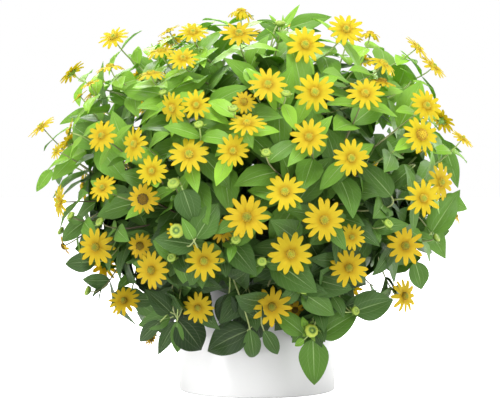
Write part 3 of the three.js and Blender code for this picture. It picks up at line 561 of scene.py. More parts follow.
@dataclass(frozen=True)
class ThinForm:
    """A thin closed sheet: a face and a back that share their edge."""

    rows: int
    columns: int

    def grid(self) -> tuple[Array, Array, Array, Array]:
        """The sheet's corners and faces.

        Returns:
            For each corner its share along (0 to 1), its share across (-1 to 1), and 1 on the face, -1 on
            the back or 0 on the edge; and the faces, each as four corners' numbers.
        """
        rows, columns = self.rows, self.columns
        inner = (slice(1, -1), slice(1, -1))
        face = np.arange(rows * columns).reshape(rows, columns)
        back = face.copy()
        back[inner] = rows * columns + np.arange((rows - 2) * (columns - 2)).reshape(rows - 2, columns - 2)
        along, across = np.meshgrid(np.linspace(0, 1, rows), np.linspace(-1, 1, columns), indexing="ij")
        inside = np.zeros((rows, columns))
        inside[inner] = 1
        joined = [np.concatenate([part.ravel(), sign * part[inner].ravel()])
                  for part, sign in ((along, 1), (across, 1), (inside, -1))]
        quads = [np.stack([part[:-1, :-1], part[:-1, 1:], part[1:, 1:], part[1:, :-1]], -1).reshape(-1, 4)
                 for part in (face, back)]
        return (*joined, np.concatenate([quads[0], quads[1][:, ::-1]]))


@dataclass(frozen=True)
class RoundForm:
    """A closed form of rings between two end points."""

    rings: int
    sides: int

    def faces(self) -> tuple[Array, Array]:
        """The three-sided faces at both ends, and the four-sided ones between, as numbers of corners.

        The first end is corner 0, the rings follow, and the last end comes last.
        """
        ring = 1 + np.arange(self.rings * self.sides).reshape(self.rings, self.sides)
        beside = np.roll(ring, -1, axis=1)
        first, last = np.zeros(self.sides, int), np.full(self.sides, 1 + self.rings * self.sides)
        ends = [np.stack([first, beside[0], ring[0]], -1), np.stack([last, ring[-1], beside[-1]], -1)]
        bands = np.stack([ring[:-1], beside[:-1], beside[1:], ring[1:]], -1).reshape(-1, 4)
        return np.concatenate(ends), bands

    def carried(self, path: Array, side: Array, other: Array, radii: Array) -> Array:
        """Rings carried along paths: a corner is the path's point plus radius times side·cos + other·sin.

        Args:
            path: copies × (rings + 2) × 3, with the end points first and last.
            side: copies × rings × 3, square to the path, as is other.
            other: copies × rings × 3.
            radii: copies × rings × sides, or sizes that stretch to that.

        Returns:
            copies × corners × 3.
        """
        angles = 2 * math.pi * np.arange(self.sides)[:, None] / self.sides
        around = side[..., None, :] * np.cos(angles) + other[..., None, :] * np.sin(angles)
        radii = np.broadcast_to(radii, (len(path), self.rings, self.sides))
        rings = path[:, 1:-1, None, :] + around * radii[..., None]
        return np.concatenate([path[:, :1], rings.reshape(len(path), -1, 3), path[:, -1:]], axis=1)


def turned(profile: Array, sides: int, place: Array = ORIGIN, axis: Array = UP,
           ribs: Array | float = 1.0) -> tuple[Array, tuple[Array, Array]]:
    """A closed form turned from a profile that starts and ends on the axis.

    Args:
        profile: radius and height of each point.
        sides: sides round the form.
        place: the axis's point at height 0.
        axis: the way that height goes.
        ribs: a factor for the radius at each side.

    Returns:
        The corners, 1 × corners × 3, and the faces at the ends and between.
    """
    form = RoundForm(len(profile) - 2, sides)
    side, other = (np.broadcast_to(part, (1, form.rings, 3)) for part in square(axis))
    path = (place + axis * profile[:, 1:])[None]
    return form.carried(path, side, other, profile[None, 1:-1, :1] * ribs), form.faces()


def spread_marks(copies: int, corners: int, *parts: object) -> Array:
    """Marks for copies of a form.

    Args:
        copies: how many copies.
        corners: how many corners each has.
        parts: place across and along, shade and blush, each a number, or one a copy, or copies × corners.

    Returns:
        copies × corners × 4.
    """
    shaped = [np.asarray(part, float) for part in parts]
    shaped = [part[:, None] if part.ndim == 1 and len(part) == copies else part for part in shaped]
    return np.stack([np.broadcast_to(part, (copies, corners)) for part in shaped], axis=-1)


class Skin:
    """Collects the corners, faces and marks of one piece, and writes them as a mesh."""

    def __init__(self, *finishes: bpy.types.Material) -> None:
        """Starts a piece with these materials."""
        self.finishes = finishes
        self.corners: list[Array] = []
        self.marks: list[Array] = []
        self.faces: list[Array] = []
        self.numbers: list[Array] = []
        self.rims: list[Array] = []
        self.count = 0

    def add(self, corners: Array, faces: Sequence[Array], marks: Array, finish: int | Sequence[Array] = 0,
            rim: Array | None = None) -> None:
        """Adds copies of a form.

        Args:
            corners: copies × corners × 3, in mm.
            faces: arrays of faces, as corners' numbers within one copy.
            marks: copies × corners × 4: place across and along, shade and blush.
            finish: the number of the material, or for each array of faces an array of numbers.
            rim: whether each corner of a copy is on a thin sheet's rim, where both sides are shaded apart.
        """
        copies, each = corners.shape[:2]
        starts = self.count + each * np.arange(copies)[:, None, None]
        for index, block in enumerate(faces):
            self.faces.append((block[None] + starts).reshape(-1, block.shape[1]))
            numbers = np.full(len(block), int(finish)) if isinstance(finish, int) else finish[index]
            self.numbers.append(np.tile(numbers, copies))
        self.corners.append(corners.reshape(-1, 3))
        self.marks.append(np.broadcast_to(marks, (copies, each, 4)).reshape(-1, 4))
        self.rims.append(np.tile(np.zeros(each, bool) if rim is None else rim, copies))
        self.count += copies * each

    def mesh(self, name: str) -> bpy.types.Mesh:
        """The mesh, with its marks, its sharp rims and its materials."""
        corners, marks = np.concatenate(self.corners) * MM, np.concatenate(self.marks)
        loops = np.concatenate([block.ravel() for block in self.faces])
        sizes = np.concatenate([np.full(len(block), block.shape[1]) for block in self.faces])
        mesh = bpy.data.meshes.new(name)
        mesh.vertices.add(len(corners))
        mesh.vertices.foreach_set("co", corners.astype(np.float32).ravel())
        mesh.loops.add(len(loops))
        mesh.loops.foreach_set("vertex_index", loops.astype(np.int32))
        mesh.polygons.add(len(sizes))
        mesh.polygons.foreach_set("loop_start", (np.cumsum(sizes) - sizes).astype(np.int32))
        mesh.polygons.foreach_set("material_index", np.concatenate(self.numbers).astype(np.int32))
        mesh.polygons.foreach_set("use_smooth", np.ones(len(sizes), bool))
        mesh.update(calc_edges=True)
        ends = np.empty(2 * len(mesh.edges), np.int32)
        mesh.edges.foreach_get("vertices", ends)
        sharp = np.concatenate(self.rims)[ends.reshape(-1, 2)].all(1)
        mesh.attributes.new("sharp_edge", "BOOLEAN", "EDGE").data.foreach_set("value", sharp)
        uvs = mesh.uv_layers.new(name="UVMap")
        uvs.data.foreach_set("uv", marks[loops, :2].astype(np.float32).ravel())
        for column, mark in ((2, "shade"), (3, "blush")):
            values = mesh.attributes.new(mark, "FLOAT", "POINT").data
            values.foreach_set("value", marks[:, column].astype(np.float32))
        for finish in self.finishes:
            mesh.materials.append(finish)
        return mesh

    def piece(self, name: str, slot: str, nodes: Sequence[str]) -> None:
        """Writes the piece in the place of its solids, which it hides."""
        piece = bpy.data.objects.new(name, self.mesh(name))
        bpy.context.scene.collection.objects.link(piece)
        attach(piece, BODY)
        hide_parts(*nodes)
        log.info("%s: %d faces, for %s", name, len(piece.data.polygons), ", ".join(nodes))


@dataclass(frozen=True)
class Holder:
    """The plain round pot and the soil in it, in mm."""

    radius: float = 60
    height: float = 110
    wall: float = 4
    floor: float = 5
    corner: float = 1.5
    corner_steps: int = 7
    lip: float = 1.6
    lip_steps: int = 11
    sides: int = 96
    soil_top: float = 98
    soil_crown: float = 3
    soil_gap: float = 0.3
    soil_edge: float = 3
    soil_rings: int = 26
    soil_sides: int = 72
    waves: int = 14
    wave_pace: Range = (0.08, 0.45)
    wave_height: float = 0.28
    hollow: float = 0.6
    lumps: int = 420
    lump_size: Range = (0.7, 2.2)

    def pot(self, skin: Skin) -> None:
        """Adds the pot: an underside, a rounded corner, a straight wall, a rounded lip, and the inside."""
        quarter = np.linspace(-math.pi / 2, 0, self.corner_steps)[:, None]
        turn = np.linspace(0, math.pi, self.lip_steps)[:, None]
        bend = self.corner * np.hstack([np.cos(quarter), np.sin(quarter)])
        bend = bend + (self.radius - self.corner, self.corner)
        half = self.wall / 2
        lip = np.hstack([half * np.cos(turn), self.lip * np.sin(turn)])
        lip = lip + (self.radius - half, self.height - self.lip)
        wall = [(self.radius, height) for height in (10, 30, 60, 90)]
        inner = self.radius - self.wall
        inside = [(inner, 95), (inner, 60), (inner, self.floor + 2), (inner - 2, self.floor)]
        profile = np.concatenate([[(0, 0)], bend, wall, lip, inside, [(0, self.floor)]])
        corners, faces = turned(profile, self.sides)
        skin.add(corners, faces, spread_marks(1, corners.shape[1], 0.5, 0.5, 0, 0))

    def soil(self, skin: Skin, rng: Random) -> None:
        """Adds the soil: a filled body with a lumpy top, and loose crumbs on it.

        The top's height is the crown's arc plus a sum of waves that run over it every way.

        Args:
            skin: the piece.
            rng: draws for the waves and the crumbs.
        """
        radius = self.radius - self.wall - self.soil_gap
        base = self.floor + self.soil_gap
        shares = np.linspace(1, 0.02, self.soil_rings)
        top = np.stack([radius * shares, self.crown(shares)], -1)
        under = [(0, base), (radius, base), (radius, self.soil_top - self.soil_edge)]
        corners, faces = turned(np.concatenate([under, top, [(0, self.crown(0))]]), self.soil_sides)
        x, y, z = corners[0].T
        turns, starts = rng.uniform(0, 2 * math.pi, (self.waves, 2)).T[..., None]
        pace = rng.uniform(*self.wave_pace, self.waves)[:, None]
        waves = np.sin(pace * (x * np.cos(turns) + y * np.sin(turns)) + starts)
        relief = waves.sum(0) * self.wave_height - self.hollow
        corners[0, :, 2] += np.where(z >= self.soil_top - 0.01, relief, 0)
        skin.add(corners, faces, spread_marks(1, corners.shape[1], 0.5, 0.5, 0, 0.5))
        self.crumbs(skin, rng, radius)

    def crown(self, share: Array | float) -> Array | float:
        """Height of the soil at a share of its radius, before its waves."""
        return self.soil_top + self.soil_crown * (1 - share**2)

    def crumbs(self, skin: Skin, rng: Random, radius: float) -> None:
        """Adds loose crumbs of peat and bark: knobs of three rings whose radii differ at random.

        Args:
            skin: the piece.
            rng: draws for sizes, places and shapes.
            radius: the soil's radius.
        """
        form = RoundForm(3, 6)
        size = rng.uniform(*self.lump_size, self.lumps) ** 1.3
        share = np.sqrt(rng.uniform(0, 1, self.lumps)) * 0.95
        angle = rng.uniform(0, 2 * math.pi, self.lumps)
        height = self.crown(share) + size * 0.25
        middle = np.stack([share * radius * np.cos(angle), share * radius * np.sin(angle), height], -1)
        axis = unit(rng.normal(0, 1, (self.lumps, 3)))
        large = size[:, None, None]
        heights = np.array([-0.8, -0.5, 0, 0.5, 0.8])[None, :, None] * large
        side, other = (np.repeat(part[:, None], form.rings, axis=1) for part in square(axis))
        uneven = rng.uniform(0.7, 1.2, (self.lumps, form.rings, form.sides))
        radii = np.array([0.6, 0.9, 0.6])[None, :, None] * large * uneven
        corners = form.carried(middle[:, None] + axis[:, None] * heights, side, other, radii)
        tint = rng.uniform(0, 1, self.lumps) ** 2
        skin.add(corners, form.faces(), spread_marks(self.lumps, corners.shape[1], 0.5, 0.5, 0, tint))


@dataclass
class Layout:
    """Where everything on the plant grows: the solids' own rules, and then the leaves that only show.

    Sizes are in mm, turns and rises in degrees, and shares are parts of a length or a radius.
    """

    eye: Eye = Eye()
    mound: Mound = Mound()
    holder: Holder = Holder()

    # Main stems: where they stand, and how they bend over towards their aims
    stem_depth: float = 22
    main_stems: tuple[MainStem, ...] = (
        MainStem(-29, -1, 31), MainStem(30, 1, 30), MainStem(88, 3, 31), MainStem(150, 0, 30),
        MainStem(209, -1, 31), MainStem(271, 3, 30), MainStem(3, 50, 12), MainStem(122, 52, 11),
        MainStem(241, 51, 12))
    aim_height: float = 135
    steep_aim: float = 30
    arch_out: float = 3
    arch_rise: float = 12
    main_bend_share: float = 0.62
    main_reach: float = 104
    main_length: float = 150
    main_foot_radius: float = 2.3
    main_tip_radius: float = 1.4

    # Shoots: where they leave a main stem, and how they arrive at their ends
    start_fall: float = 75
    lowest_start: float = 0.42
    lowest_hanging: float = 0.56
    highest_start: float = 0.9
    start_scatter: float = 0.07
    leave_share: float = 0.3
    leave_rise: float = 0.06
    arrival: float = 26
    arrival_share: float = 0.33
    least_arrival: float = 6
    rim_room: float = 8
    back_share: float = 0.11

    # Blooms and buds on the sides, top and back, wound round the mound
    wound_places: int = 106
    wound_shares: Place = (0.96, 0.9, 1.0)
    wound_sway: float = 0.12  # in radians
    wound_lean: float = 0.8
    wound_rise: Range = (0.2, 0.7)
    wound_width: Range = (21, 9)
    wound_apart: float = 30
    wound_front: float = 8
    wound_lowest: float = -0.76
    bud_every: int = 8
    bud_share: float = 0.25
    bloom_nodes: int = 49

    # The room that each part keeps round itself
    extra_room: float = 1
    bloom_room: float = 3.0
    bloom_samples: tuple[tuple[float, int], ...] = ((0.45, 6), (0.9, 12))
    shoot_room: float = 2.2
    sample_step: float = 3
    leaf_room: float = 2.35
    further_room: float = 0.3
    closer: float = 0.45

    # Leaves: their form, how a pair is tried, and the pairs
    leaf_arch: float = 0.65
    stations: Row = (0.2, 0.36, 0.52, 0.68, 0.84, 0.98)
    station_halves: Row = (0.62, 0.96, 0.92, 0.72, 0.42, 0.05)
    edge_share: float = 0.62
    end_leaf_rise: float = 0.3
    end_leaf_slack: float = 1.08
    leaf_look: Place = (0.6, 0.5, 0.2)
    leaf_sag: float = 0.12
    least_size: float = 0.85
    size_range: float = 0.3
    least_stalk: float = 12
    tried_turns: int = 12
    tried_spreads: Place = (12, 35, 60)
    tried_sizes: Place = (1, 0.8, 0.62)
    enough_room: float = 0.5
    lower_pair: Pair = Pair(34, 36, 18)
    upper_pair: Pair = Pair(14, 27, 11)

    # Pairs that only show
    young_pair: Pair = Pair(15, 24, 11)
    hanging_pairs: tuple[Pair, ...] = (Pair(24, 36, 20), Pair(44, 40, 22), Pair(64, 40, 22))
    hanging_above_rim: float = 15
    further_pairs: tuple[Pair, ...] = (
        Pair(54, 38, 20), Pair(76, 40, 21), Pair(98, 40, 21), Pair(120, 38, 20))
    inner_pairs: int = 8
    inner_span: Range = (0.4, 0.98)
    inner_leaf: Range = (40, 20)
    most_nearness: float = 1.04
    trimmed: float = 0.55

    # Leafy shoots that fill what is still open of the sides, top and back
    filling_places: int = 420
    filling_shares: Place = (0.9, 0.88, 0.88)
    filling_rise: float = 0.5
    filling_room: float = 15
    filling_front: float = -45
    filling_least: float = 75
    filling_pairs: tuple[Pair, ...] = (Pair(3, 22, 10), Pair(15, 30, 15), Pair(32, 38, 20), Pair(52, 40, 21))

    def __post_init__(self) -> None:
        """Grows the whole plant."""
        self.draw = Draws(SEED)
        self.crowd = Crowd(self.holder.radius, self.holder.height)
        self.sights: Sights | None = None
        self.mains = [self.main_curve(stem) for stem in self.main_stems]
        front = self.front_ends()
        ends = front + self.wound_ends(front)
        self.shoots = [self.shoot_for(end, index) for index, end in enumerate(ends)]
        self.claim_all()
        blooms = [shoot for shoot in self.shoots if shoot.end.kind is Kind.BLOOM]
        self.widest = sorted(blooms, key=lambda shoot: -shoot.end.width)[: self.bloom_nodes]
        for pair, bearers in ((self.lower_pair, self.shoots), (self.upper_pair, self.widest)):
            for shoot in bearers:
                self.place_pair(shoot, pair, self.leaf_room)
        self.main_blades: list[list[Blade]] = [[] for _ in self.mains]
        self.thicken()

    def front_ends(self) -> list[End]:
        """The front's blooms, buds and large leaves, from the listed places."""
        ends = []
        for column, row, width, turn, tip, deeper in FRONT_BLOOMS:
            place = self.eye.place(column, row, self.mound.depth(self.eye, column, row) - deeper)
            age = next((age for age, spots in AGES.items() if (column, row) in spots), Age.FRESH)
            ends.append(End(Kind.BLOOM, place, direction(turn, tip), width, age))
        for column, row, width, deeper in FRONT_BUDS:
            place = self.eye.place(column, row, self.mound.depth(self.eye, column, row) - deeper)
            ends.append(End(Kind.BUD, place, unit(self.mound.outward(place) + UP), width))
        return ends + self.leaf_ends(FRONT_LEAVES)

    def leaf_ends(self, leaves: Sequence[LeafRow]) -> list[End]:
        """Ends for large leaves, each from its root, its tip, its width and how lit it is painted."""
        ends = []
        for root, tip, width, painted_lightness in leaves:
            place, leaf_tip = self.eye.place(*root), self.eye.place(*tip)
            axis = unit(leaf_tip - place)
            ends.append(End(Kind.LEAF, place, axis, width, tip=leaf_tip, painted_lightness=painted_lightness))
        return ends

    def wound_ends(self, front: Sequence[End]) -> list[End]:
        """The sides', top's and back's blooms and buds.

        Every place takes its draws, also one that is left out because it is on the front, under the mound or
        close to another end.

        Args:
            front: the front's ends.

        Returns:
            The ends.
        """
        ends: list[End] = []
        for index in range(self.wound_places):
            sway = (self.draw() - 0.5) * self.wound_sway
            rise, place = self.mound.wound(index, self.wound_places, self.wound_shares, sway)
            width = self.wound_width[0] + self.wound_width[1] * self.draw()
            aside = [self.draw() - 0.5, self.draw() - 0.5]
            lean = np.array([*aside, self.wound_rise[0] + self.draw() * self.wound_rise[1]])
            near = any(np.linalg.norm(other.place - place) < self.wound_apart for other in [*front, *ends])
            if place[1] < self.wound_front or rise < self.wound_lowest or near:
                continue
            axis = unit(self.mound.outward(place) + self.wound_lean * lean)
            is_bud = len(ends) % self.bud_every == self.bud_every - 1
            kind = Kind.BUD if is_bud else Kind.BLOOM
            ends.append(End(kind, place, axis, width * self.bud_share if is_bud else width))
        return ends

    def main_curve(self, stem: MainStem) -> Curve:
        """A main stem's curve: up out of the soil, and then over towards its aim."""
        out, aim = direction(stem.turn, 0), direction(stem.turn, stem.rise)
        middle = UP * self.aim_height
        foot = out * stem.foot + UP * (self.holder.soil_top - self.stem_depth)
        bend = out * stem.foot + middle
        if stem.rise < self.steep_aim:
            bend = out * (stem.foot + self.arch_out) + UP * (self.aim_height + self.arch_rise)
        reach = middle + aim * self.main_reach * self.main_bend_share + UP * self.arch_rise
        return Curve(np.array([foot, bend, reach, middle + aim * self.main_reach]))

    def shoot_for(self, end: End, index: int) -> Shoot:
        """The shoot to an end, from the main stem whose aim is nearest.

        The more the end turns aside from that aim, the further back the shoot starts.

        Args:
            end: the end.
            index: a number that moves the start a little.

        Returns:
            The shoot.
        """
        heading = unit(end.place - UP * self.aim_height)
        aims = [direction(stem.turn, stem.rise) for stem in self.main_stems]
        angles = [math.acos(min(1, heading @ aim)) / DEG for aim in aims]
        main = angles.index(min(angles))
        hangs = end.place[2] < self.holder.height
        lowest = self.lowest_hanging if hangs else self.lowest_start
        along = min(self.highest_start, max(lowest, 1 - angles[main] / self.start_fall))
        along += self.start_scatter * ((index * GOLDEN_SHARE) % 1)
        start, tangent = self.mains[main].at(along), self.mains[main].heading(along)
        back = self.back_share * end.width / 2 if end.kind is Kind.BLOOM else 0
        finish = end.place - end.axis * back
        length = float(np.linalg.norm(finish - start))
        leave = start + tangent * length * self.leave_share + UP * length * self.leave_rise
        beside = math.hypot(finish[0], finish[1]) - self.holder.radius - self.rim_room
        most = max(self.least_arrival, beside) if hangs else self.arrival
        behind = min(self.arrival, length * self.arrival_share, most)
        return Shoot(end, main, Curve(np.array([start, leave, finish - end.axis * behind, finish])), length)

    def claim_all(self) -> None:
        """Claims the room of the stems, shoots, blooms, buds and the large leaves."""
        for index, curve in enumerate(self.mains):
            self.claim_curve(curve, self.main_length, self.main_foot_radius + self.extra_room, -1 - index)
        for owner, shoot in enumerate(self.shoots):
            end = shoot.end
            self.claim_curve(shoot.curve, shoot.length, self.shoot_room, owner)
            if end.kind is Kind.BLOOM:
                self.crowd.claim(end.place, self.bloom_room, owner)
                for share, count in self.bloom_samples:
                    out, _ = spokes(end.axis, 2 * math.pi * np.arange(count)[:, None] / count)
                    self.crowd.claim(end.place + out * share * end.width / 2, self.bloom_room, owner)
            elif end.kind is Kind.BUD:
                self.crowd.claim(end.place, end.width / 2 + self.extra_room, owner)
            else:
                self.end_leaf(shoot, owner)

    def end_leaf(self, shoot: Shoot, owner: int) -> None:
        """Adds the large leaf that a shoot ends in, its upper side to the front, and claims its room."""
        end = shoot.end
        hint = FRONT + self.end_leaf_rise * UP
        upper = unit(hint - end.axis * (hint @ end.axis))
        side = np.cross(end.axis, upper)
        length = float(np.linalg.norm(end.place - end.tip)) * self.end_leaf_slack
        blade = Blade(end.place, end.axis, upper, side, length, end.width, end.painted_lightness)
        shoot.blades.append(blade)
        self.crowd.claim(self.samples(blade), self.leaf_room, owner)

    def claim_curve(self, curve: Curve, length: float, room: float, owner: int) -> None:
        """Claims points all along a curve, about a sample step apart."""
        count = math.floor(length / self.sample_step + 0.5)
        self.crowd.claim(curve.at(np.arange(count + 1) / count), room, owner)

    def samples(self, blade: Blade) -> Array:
        """Sample points on a leaf, or on leaves, that bend down evenly along their length."""
        stations = np.repeat(self.stations, 3)
        halves = np.repeat(self.station_halves, 3) * blade.width / 2
        across = np.tile([-self.edge_share, 0, self.edge_share], len(self.stations)) * halves
        run = blade.length / self.leaf_arch
        ahead = run * np.sin(self.leaf_arch * stations)
        down = run * (1 - np.cos(self.leaf_arch * stations))
        return (blade.root + blade.heading[..., None, :] * ahead[:, None]
                - blade.upper[..., None, :] * down[:, None] + blade.side[..., None, :] * across[:, None])

    def size(self) -> float:
        """A factor for the size of a pair."""
        return self.least_size + self.draw() * self.size_range

    def place_pair(self, shoot: Shoot, pair: Pair, own: float) -> None:
        """Adds a pair of opposite leaves to a shoot, if the shoot is long enough.

        Args:
            shoot: the shoot.
            pair: the pair's place and size.
            own: the room that the leaves keep round themselves.
        """
        phase, size = self.draw() * math.pi, self.size()
        if pair.below > shoot.length - self.least_stalk:
            return
        along = 1 - pair.below / shoot.length
        root, tangent = shoot.curve.at(along), shoot.curve.heading(along)
        wanted = (pair.length * size, pair.width * size)
        shoot.blades.extend(self.pair_at(root, tangent, self.shoots.index(shoot), wanted, phase, own))

    def pair_at(self, root: Array, tangent: Array, owner: int, size: tuple[float, float], phase: float,
                own: float) -> list[Blade]:
        """The leaves of a pair at a root on a stem.

        Several turns round the stem and spreads from it are tried. The pair with the most room is kept,
        each leaf smaller or left out where it would still meet something.

        Args:
            root: where the pair grows.
            tangent: the stem's direction there.
            owner: the number of the shoot or main stem.
            size: length and width of the leaves.
            phase: the first turn that is tried, in radians.
            own: the room that the leaves keep round themselves.

        Returns:
            Up to two leaves.
        """
        outward, upward, onward = self.leaf_look
        hint = outward * self.mound.outward(root) + upward * UP + onward * tangent
        near = self.crowd.near(root, owner)
        angles = phase + math.pi * np.arange(self.tried_turns)[:, None, None, None] / self.tried_turns
        spreads = np.array(self.tried_spreads)[:, None, None] * DEG
        ways = np.array([1.0, -1.0])[:, None]
        across, _ = spokes(tangent, angles)
        headings = unit(across * ways * np.cos(spreads) + tangent * np.sin(spreads) - self.leaf_sag * UP)
        uppers = unit(hint - headings * (headings @ hint)[..., None])
        sides = np.cross(headings, uppers)
        rooms = self.room(self.samples(Blade(root, headings, uppers, sides, *size)), near, own)
        best = np.unravel_index(np.argmax(np.minimum(rooms, self.enough_room).sum(-1)), rooms.shape[:-1])
        kept = []
        for way in zip(headings[best], uppers[best], sides[best]):
            for share in self.tried_sizes:
                blade = Blade(root, *way, size[0] * share, size[1] * share)
                points = self.samples(blade)
                if self.room(points, near, own) >= 0:
                    kept.append(blade)
                    self.crowd.claim(points, own, owner)
                    break
        return kept

    def room(self, points: Array, near: tuple[Array, Array], own: float) -> Array:
        """The crowd's room for leaves, less than nothing also where they hide what shows in the photo."""
        rooms = self.crowd.room(points, near, own)
        return rooms if self.sights is None else np.minimum(rooms, self.sights.clearance(self.eye, points))

    def thicken(self) -> None:
        """Adds the leaves that the solids leave out, and trims those that stand out of the mound."""
        self.crowd.rooms *= self.closer
        self.sights = Sights.on(self)
        self.bear(FURTHER_LEAVES)
        for shoot in self.shoots:
            if shoot not in self.widest and shoot.end.kind is not Kind.LEAF:
                self.place_pair(shoot, self.young_pair, self.further_room)
        for pair in self.hanging_pairs:
            for shoot in self.shoots:
                if shoot.end.place[2] < self.holder.height + self.hanging_above_rim:
                    self.place_pair(shoot, pair, self.further_room)
        for pair in self.further_pairs:
            for shoot in self.shoots:
                self.place_pair(shoot, pair, self.further_room)
        for main, curve in enumerate(self.mains):
            for along in np.linspace(*self.inner_span, self.inner_pairs):
                size = (self.inner_leaf[0] * self.size(), self.inner_leaf[1])
                phase, tangent = self.draw() * math.pi, curve.heading(along)
                blades = self.pair_at(curve.at(along), tangent, -1 - main, size, phase, self.further_room)
                self.main_blades[main].extend(blades)
        self.fill()
        self.bear(LAST_LEAVES)
        self.trim()

    def add_shoot(self, end: End, index: int) -> Shoot:
        """Adds the shoot to an end, claims its room and returns it."""
        shoot = self.shoot_for(end, index)
        self.claim_curve(shoot.curve, shoot.length, self.shoot_room * self.closer, len(self.shoots))
        self.shoots.append(shoot)
        return shoot

    def bear(self, leaves: Sequence[LeafRow]) -> None:
        """Adds shoots that end in these leaves."""
        for end in self.leaf_ends(leaves):
            number = len(self.shoots)
            self.end_leaf(self.add_shoot(end, number), number)

    def fill(self) -> None:
        """Adds leafy shoots to the sides, top and back where the mound's face is still open."""
        for index in range(self.filling_places):
            _, place = self.mound.wound(index, self.filling_places, self.filling_shares)
            if place[1] < self.filling_front or place[2] < self.filling_least:
                continue
            if np.linalg.norm(self.crowd.points - place, axis=1).min() < self.filling_room:
                continue
            axis = unit(self.mound.outward(place) + self.filling_rise * UP)
            shoot = self.add_shoot(End(Kind.TIP, place, axis, 0), index)
            for pair in self.filling_pairs:
                self.place_pair(shoot, pair, self.further_room)

    def trim(self) -> None:
        """Makes leaves smaller whose tips stand out of the mound, other than the large ones."""
        ahead, down = math.sin(self.leaf_arch), 1 - math.cos(self.leaf_arch)
        for shoot in self.shoots:
            for blade in shoot.blades:
                if shoot.end.kind is Kind.LEAF and blade is shoot.blades[0]:
                    continue
                reach = (ahead * blade.heading - down * blade.upper) * blade.length / self.leaf_arch
                if self.mound.nearness(blade.root + reach) > self.most_nearness:
                    blade.length *= self.trimmed
                    blade.width *= self.trimmed


class Nodes:
    """A material's or a group's nodes, added one by one."""

    def __init__(self, tree: bpy.types.NodeTree) -> None:
        """Empties the tree."""
        self.tree = tree
        tree.nodes.clear()

    def add(self, kind: str, inputs: dict[str | int, object] | None = None,
            **settings: object) -> bpy.types.Node:
        """Adds a node.

        Args:
            kind: the node's type, without its "ShaderNode".
            inputs: each input's name or number, with a value or another node's output.
            settings: the node's own settings.

        Returns:
            The node.
        """
        node = self.tree.nodes.new("ShaderNode" + kind)
        for name, value in settings.items():
            setattr(node, name, value)
        for name, value in (inputs or {}).items():
            socket = node.inputs[name]
            if isinstance(value, Socket):
                self.tree.links.new(value, socket)
            else:
                socket.default_value = (*value, 1) if socket.type == "RGBA" else value
        return node

    def math(self, operation: str, *values: object) -> Socket:
        """The result of a Math node."""
        return self.add("Math", dict(enumerate(values)), operation=operation).outputs[0]

    def mark(self, name: str) -> Socket:
        """A number that the mesh holds for each corner."""
        return self.add("Attribute", attribute_name=name).outputs["Fac"]

    def place(self) -> tuple[Socket, Socket]:
        """The place on a leaf or ray: 0 at its midline to 0.5 at its edge, and 0 at its root to 1."""
        parts = self.add("SeparateXYZ", {0: self.add("UVMap").outputs["UV"]})
        return self.math("ABSOLUTE", self.math("SUBTRACT", parts.outputs["X"], 0.5)), parts.outputs["Y"]

    def ramp(self, value: Socket, stops: Stops) -> Socket:
        """A colour between stops, by a value."""
        ramp = self.add("ValToRGB", {"Fac": value})
        elements = ramp.color_ramp.elements
        while len(elements) < len(stops):
            elements.new(0.5)
        for element, (place, colour) in zip(elements, stops):
            element.position = place
            element.color = (*colour, 1)
        return ramp.outputs["Color"]

    def mix(self, share: object, first: object, second: object, blend: str = "MIX") -> Socket:
        """A mix of two colours."""
        inputs = {0: share, 6: first, 7: second}
        return self.add("Mix", inputs, data_type="RGBA", blend_type=blend).outputs[2]

    def between(self, value: Socket, low: float, high: float, start: float = 0, end: float = 1) -> Socket:
        """A smooth step from start to end as the value goes from low to high."""
        inputs = {"Value": value, "From Min": low, "From Max": high, "To Min": start, "To Max": end}
        return self.add("MapRange", inputs, interpolation_type="SMOOTHSTEP").outputs["Result"]

    def line(self, across: Socket, at: float, inner: float, outer: float) -> Socket:
        """A fine line along a leaf or ray: 1 within inner of its place across, 0 beyond outer."""
        apart = self.math("ABSOLUTE", self.math("SUBTRACT", across, at))
        return self.between(apart, inner, outer, 1, 0)


def mottle_group() -> bpy.types.NodeTree:
    """The group that all finishes share: soft blotches and a fine speckle that vary a colour's value.

    Returns:
        A group with inputs Colour, Amount and Scale, and outputs Colour and Height.
    """
    group = bpy.data.node_groups.new("mottle", "ShaderNodeTree")
    for name, way, kind in (("Colour", "INPUT", "Color"), ("Amount", "INPUT", "Float"),
                            ("Scale", "INPUT", "Float"), ("Colour", "OUTPUT", "Color"),
                            ("Height", "OUTPUT", "Float")):
        group.interface.new_socket(name, in_out=way, socket_type="NodeSocket" + kind)
    nodes = Nodes(group)
    given = group.nodes.new("NodeGroupInput").outputs
    result = group.nodes.new("NodeGroupOutput").inputs
    place = nodes.add("TexCoord").outputs["Object"]
    blotches = nodes.add("TexNoise", {"Vector": place, "Scale": given["Scale"], "Detail": 3.0})
    finer = nodes.math("MULTIPLY", given["Scale"], 9.0)
    speckle = nodes.add("TexNoise", {"Vector": place, "Scale": finer, "Detail": 2.0}).outputs["Fac"]
    both = nodes.math("ADD", blotches.outputs["Fac"], nodes.math("MULTIPLY", speckle, 0.5))
    swing = nodes.math("MULTIPLY", nodes.math("SUBTRACT", both, 0.75), given["Amount"])
    value = nodes.math("ADD", swing, 1.0)
    varied = nodes.add("HueSaturation", {"Color": given["Colour"], "Value": value})
    group.links.new(varied.outputs["Color"], result["Colour"])
    group.links.new(speckle, result["Height"])
    return group


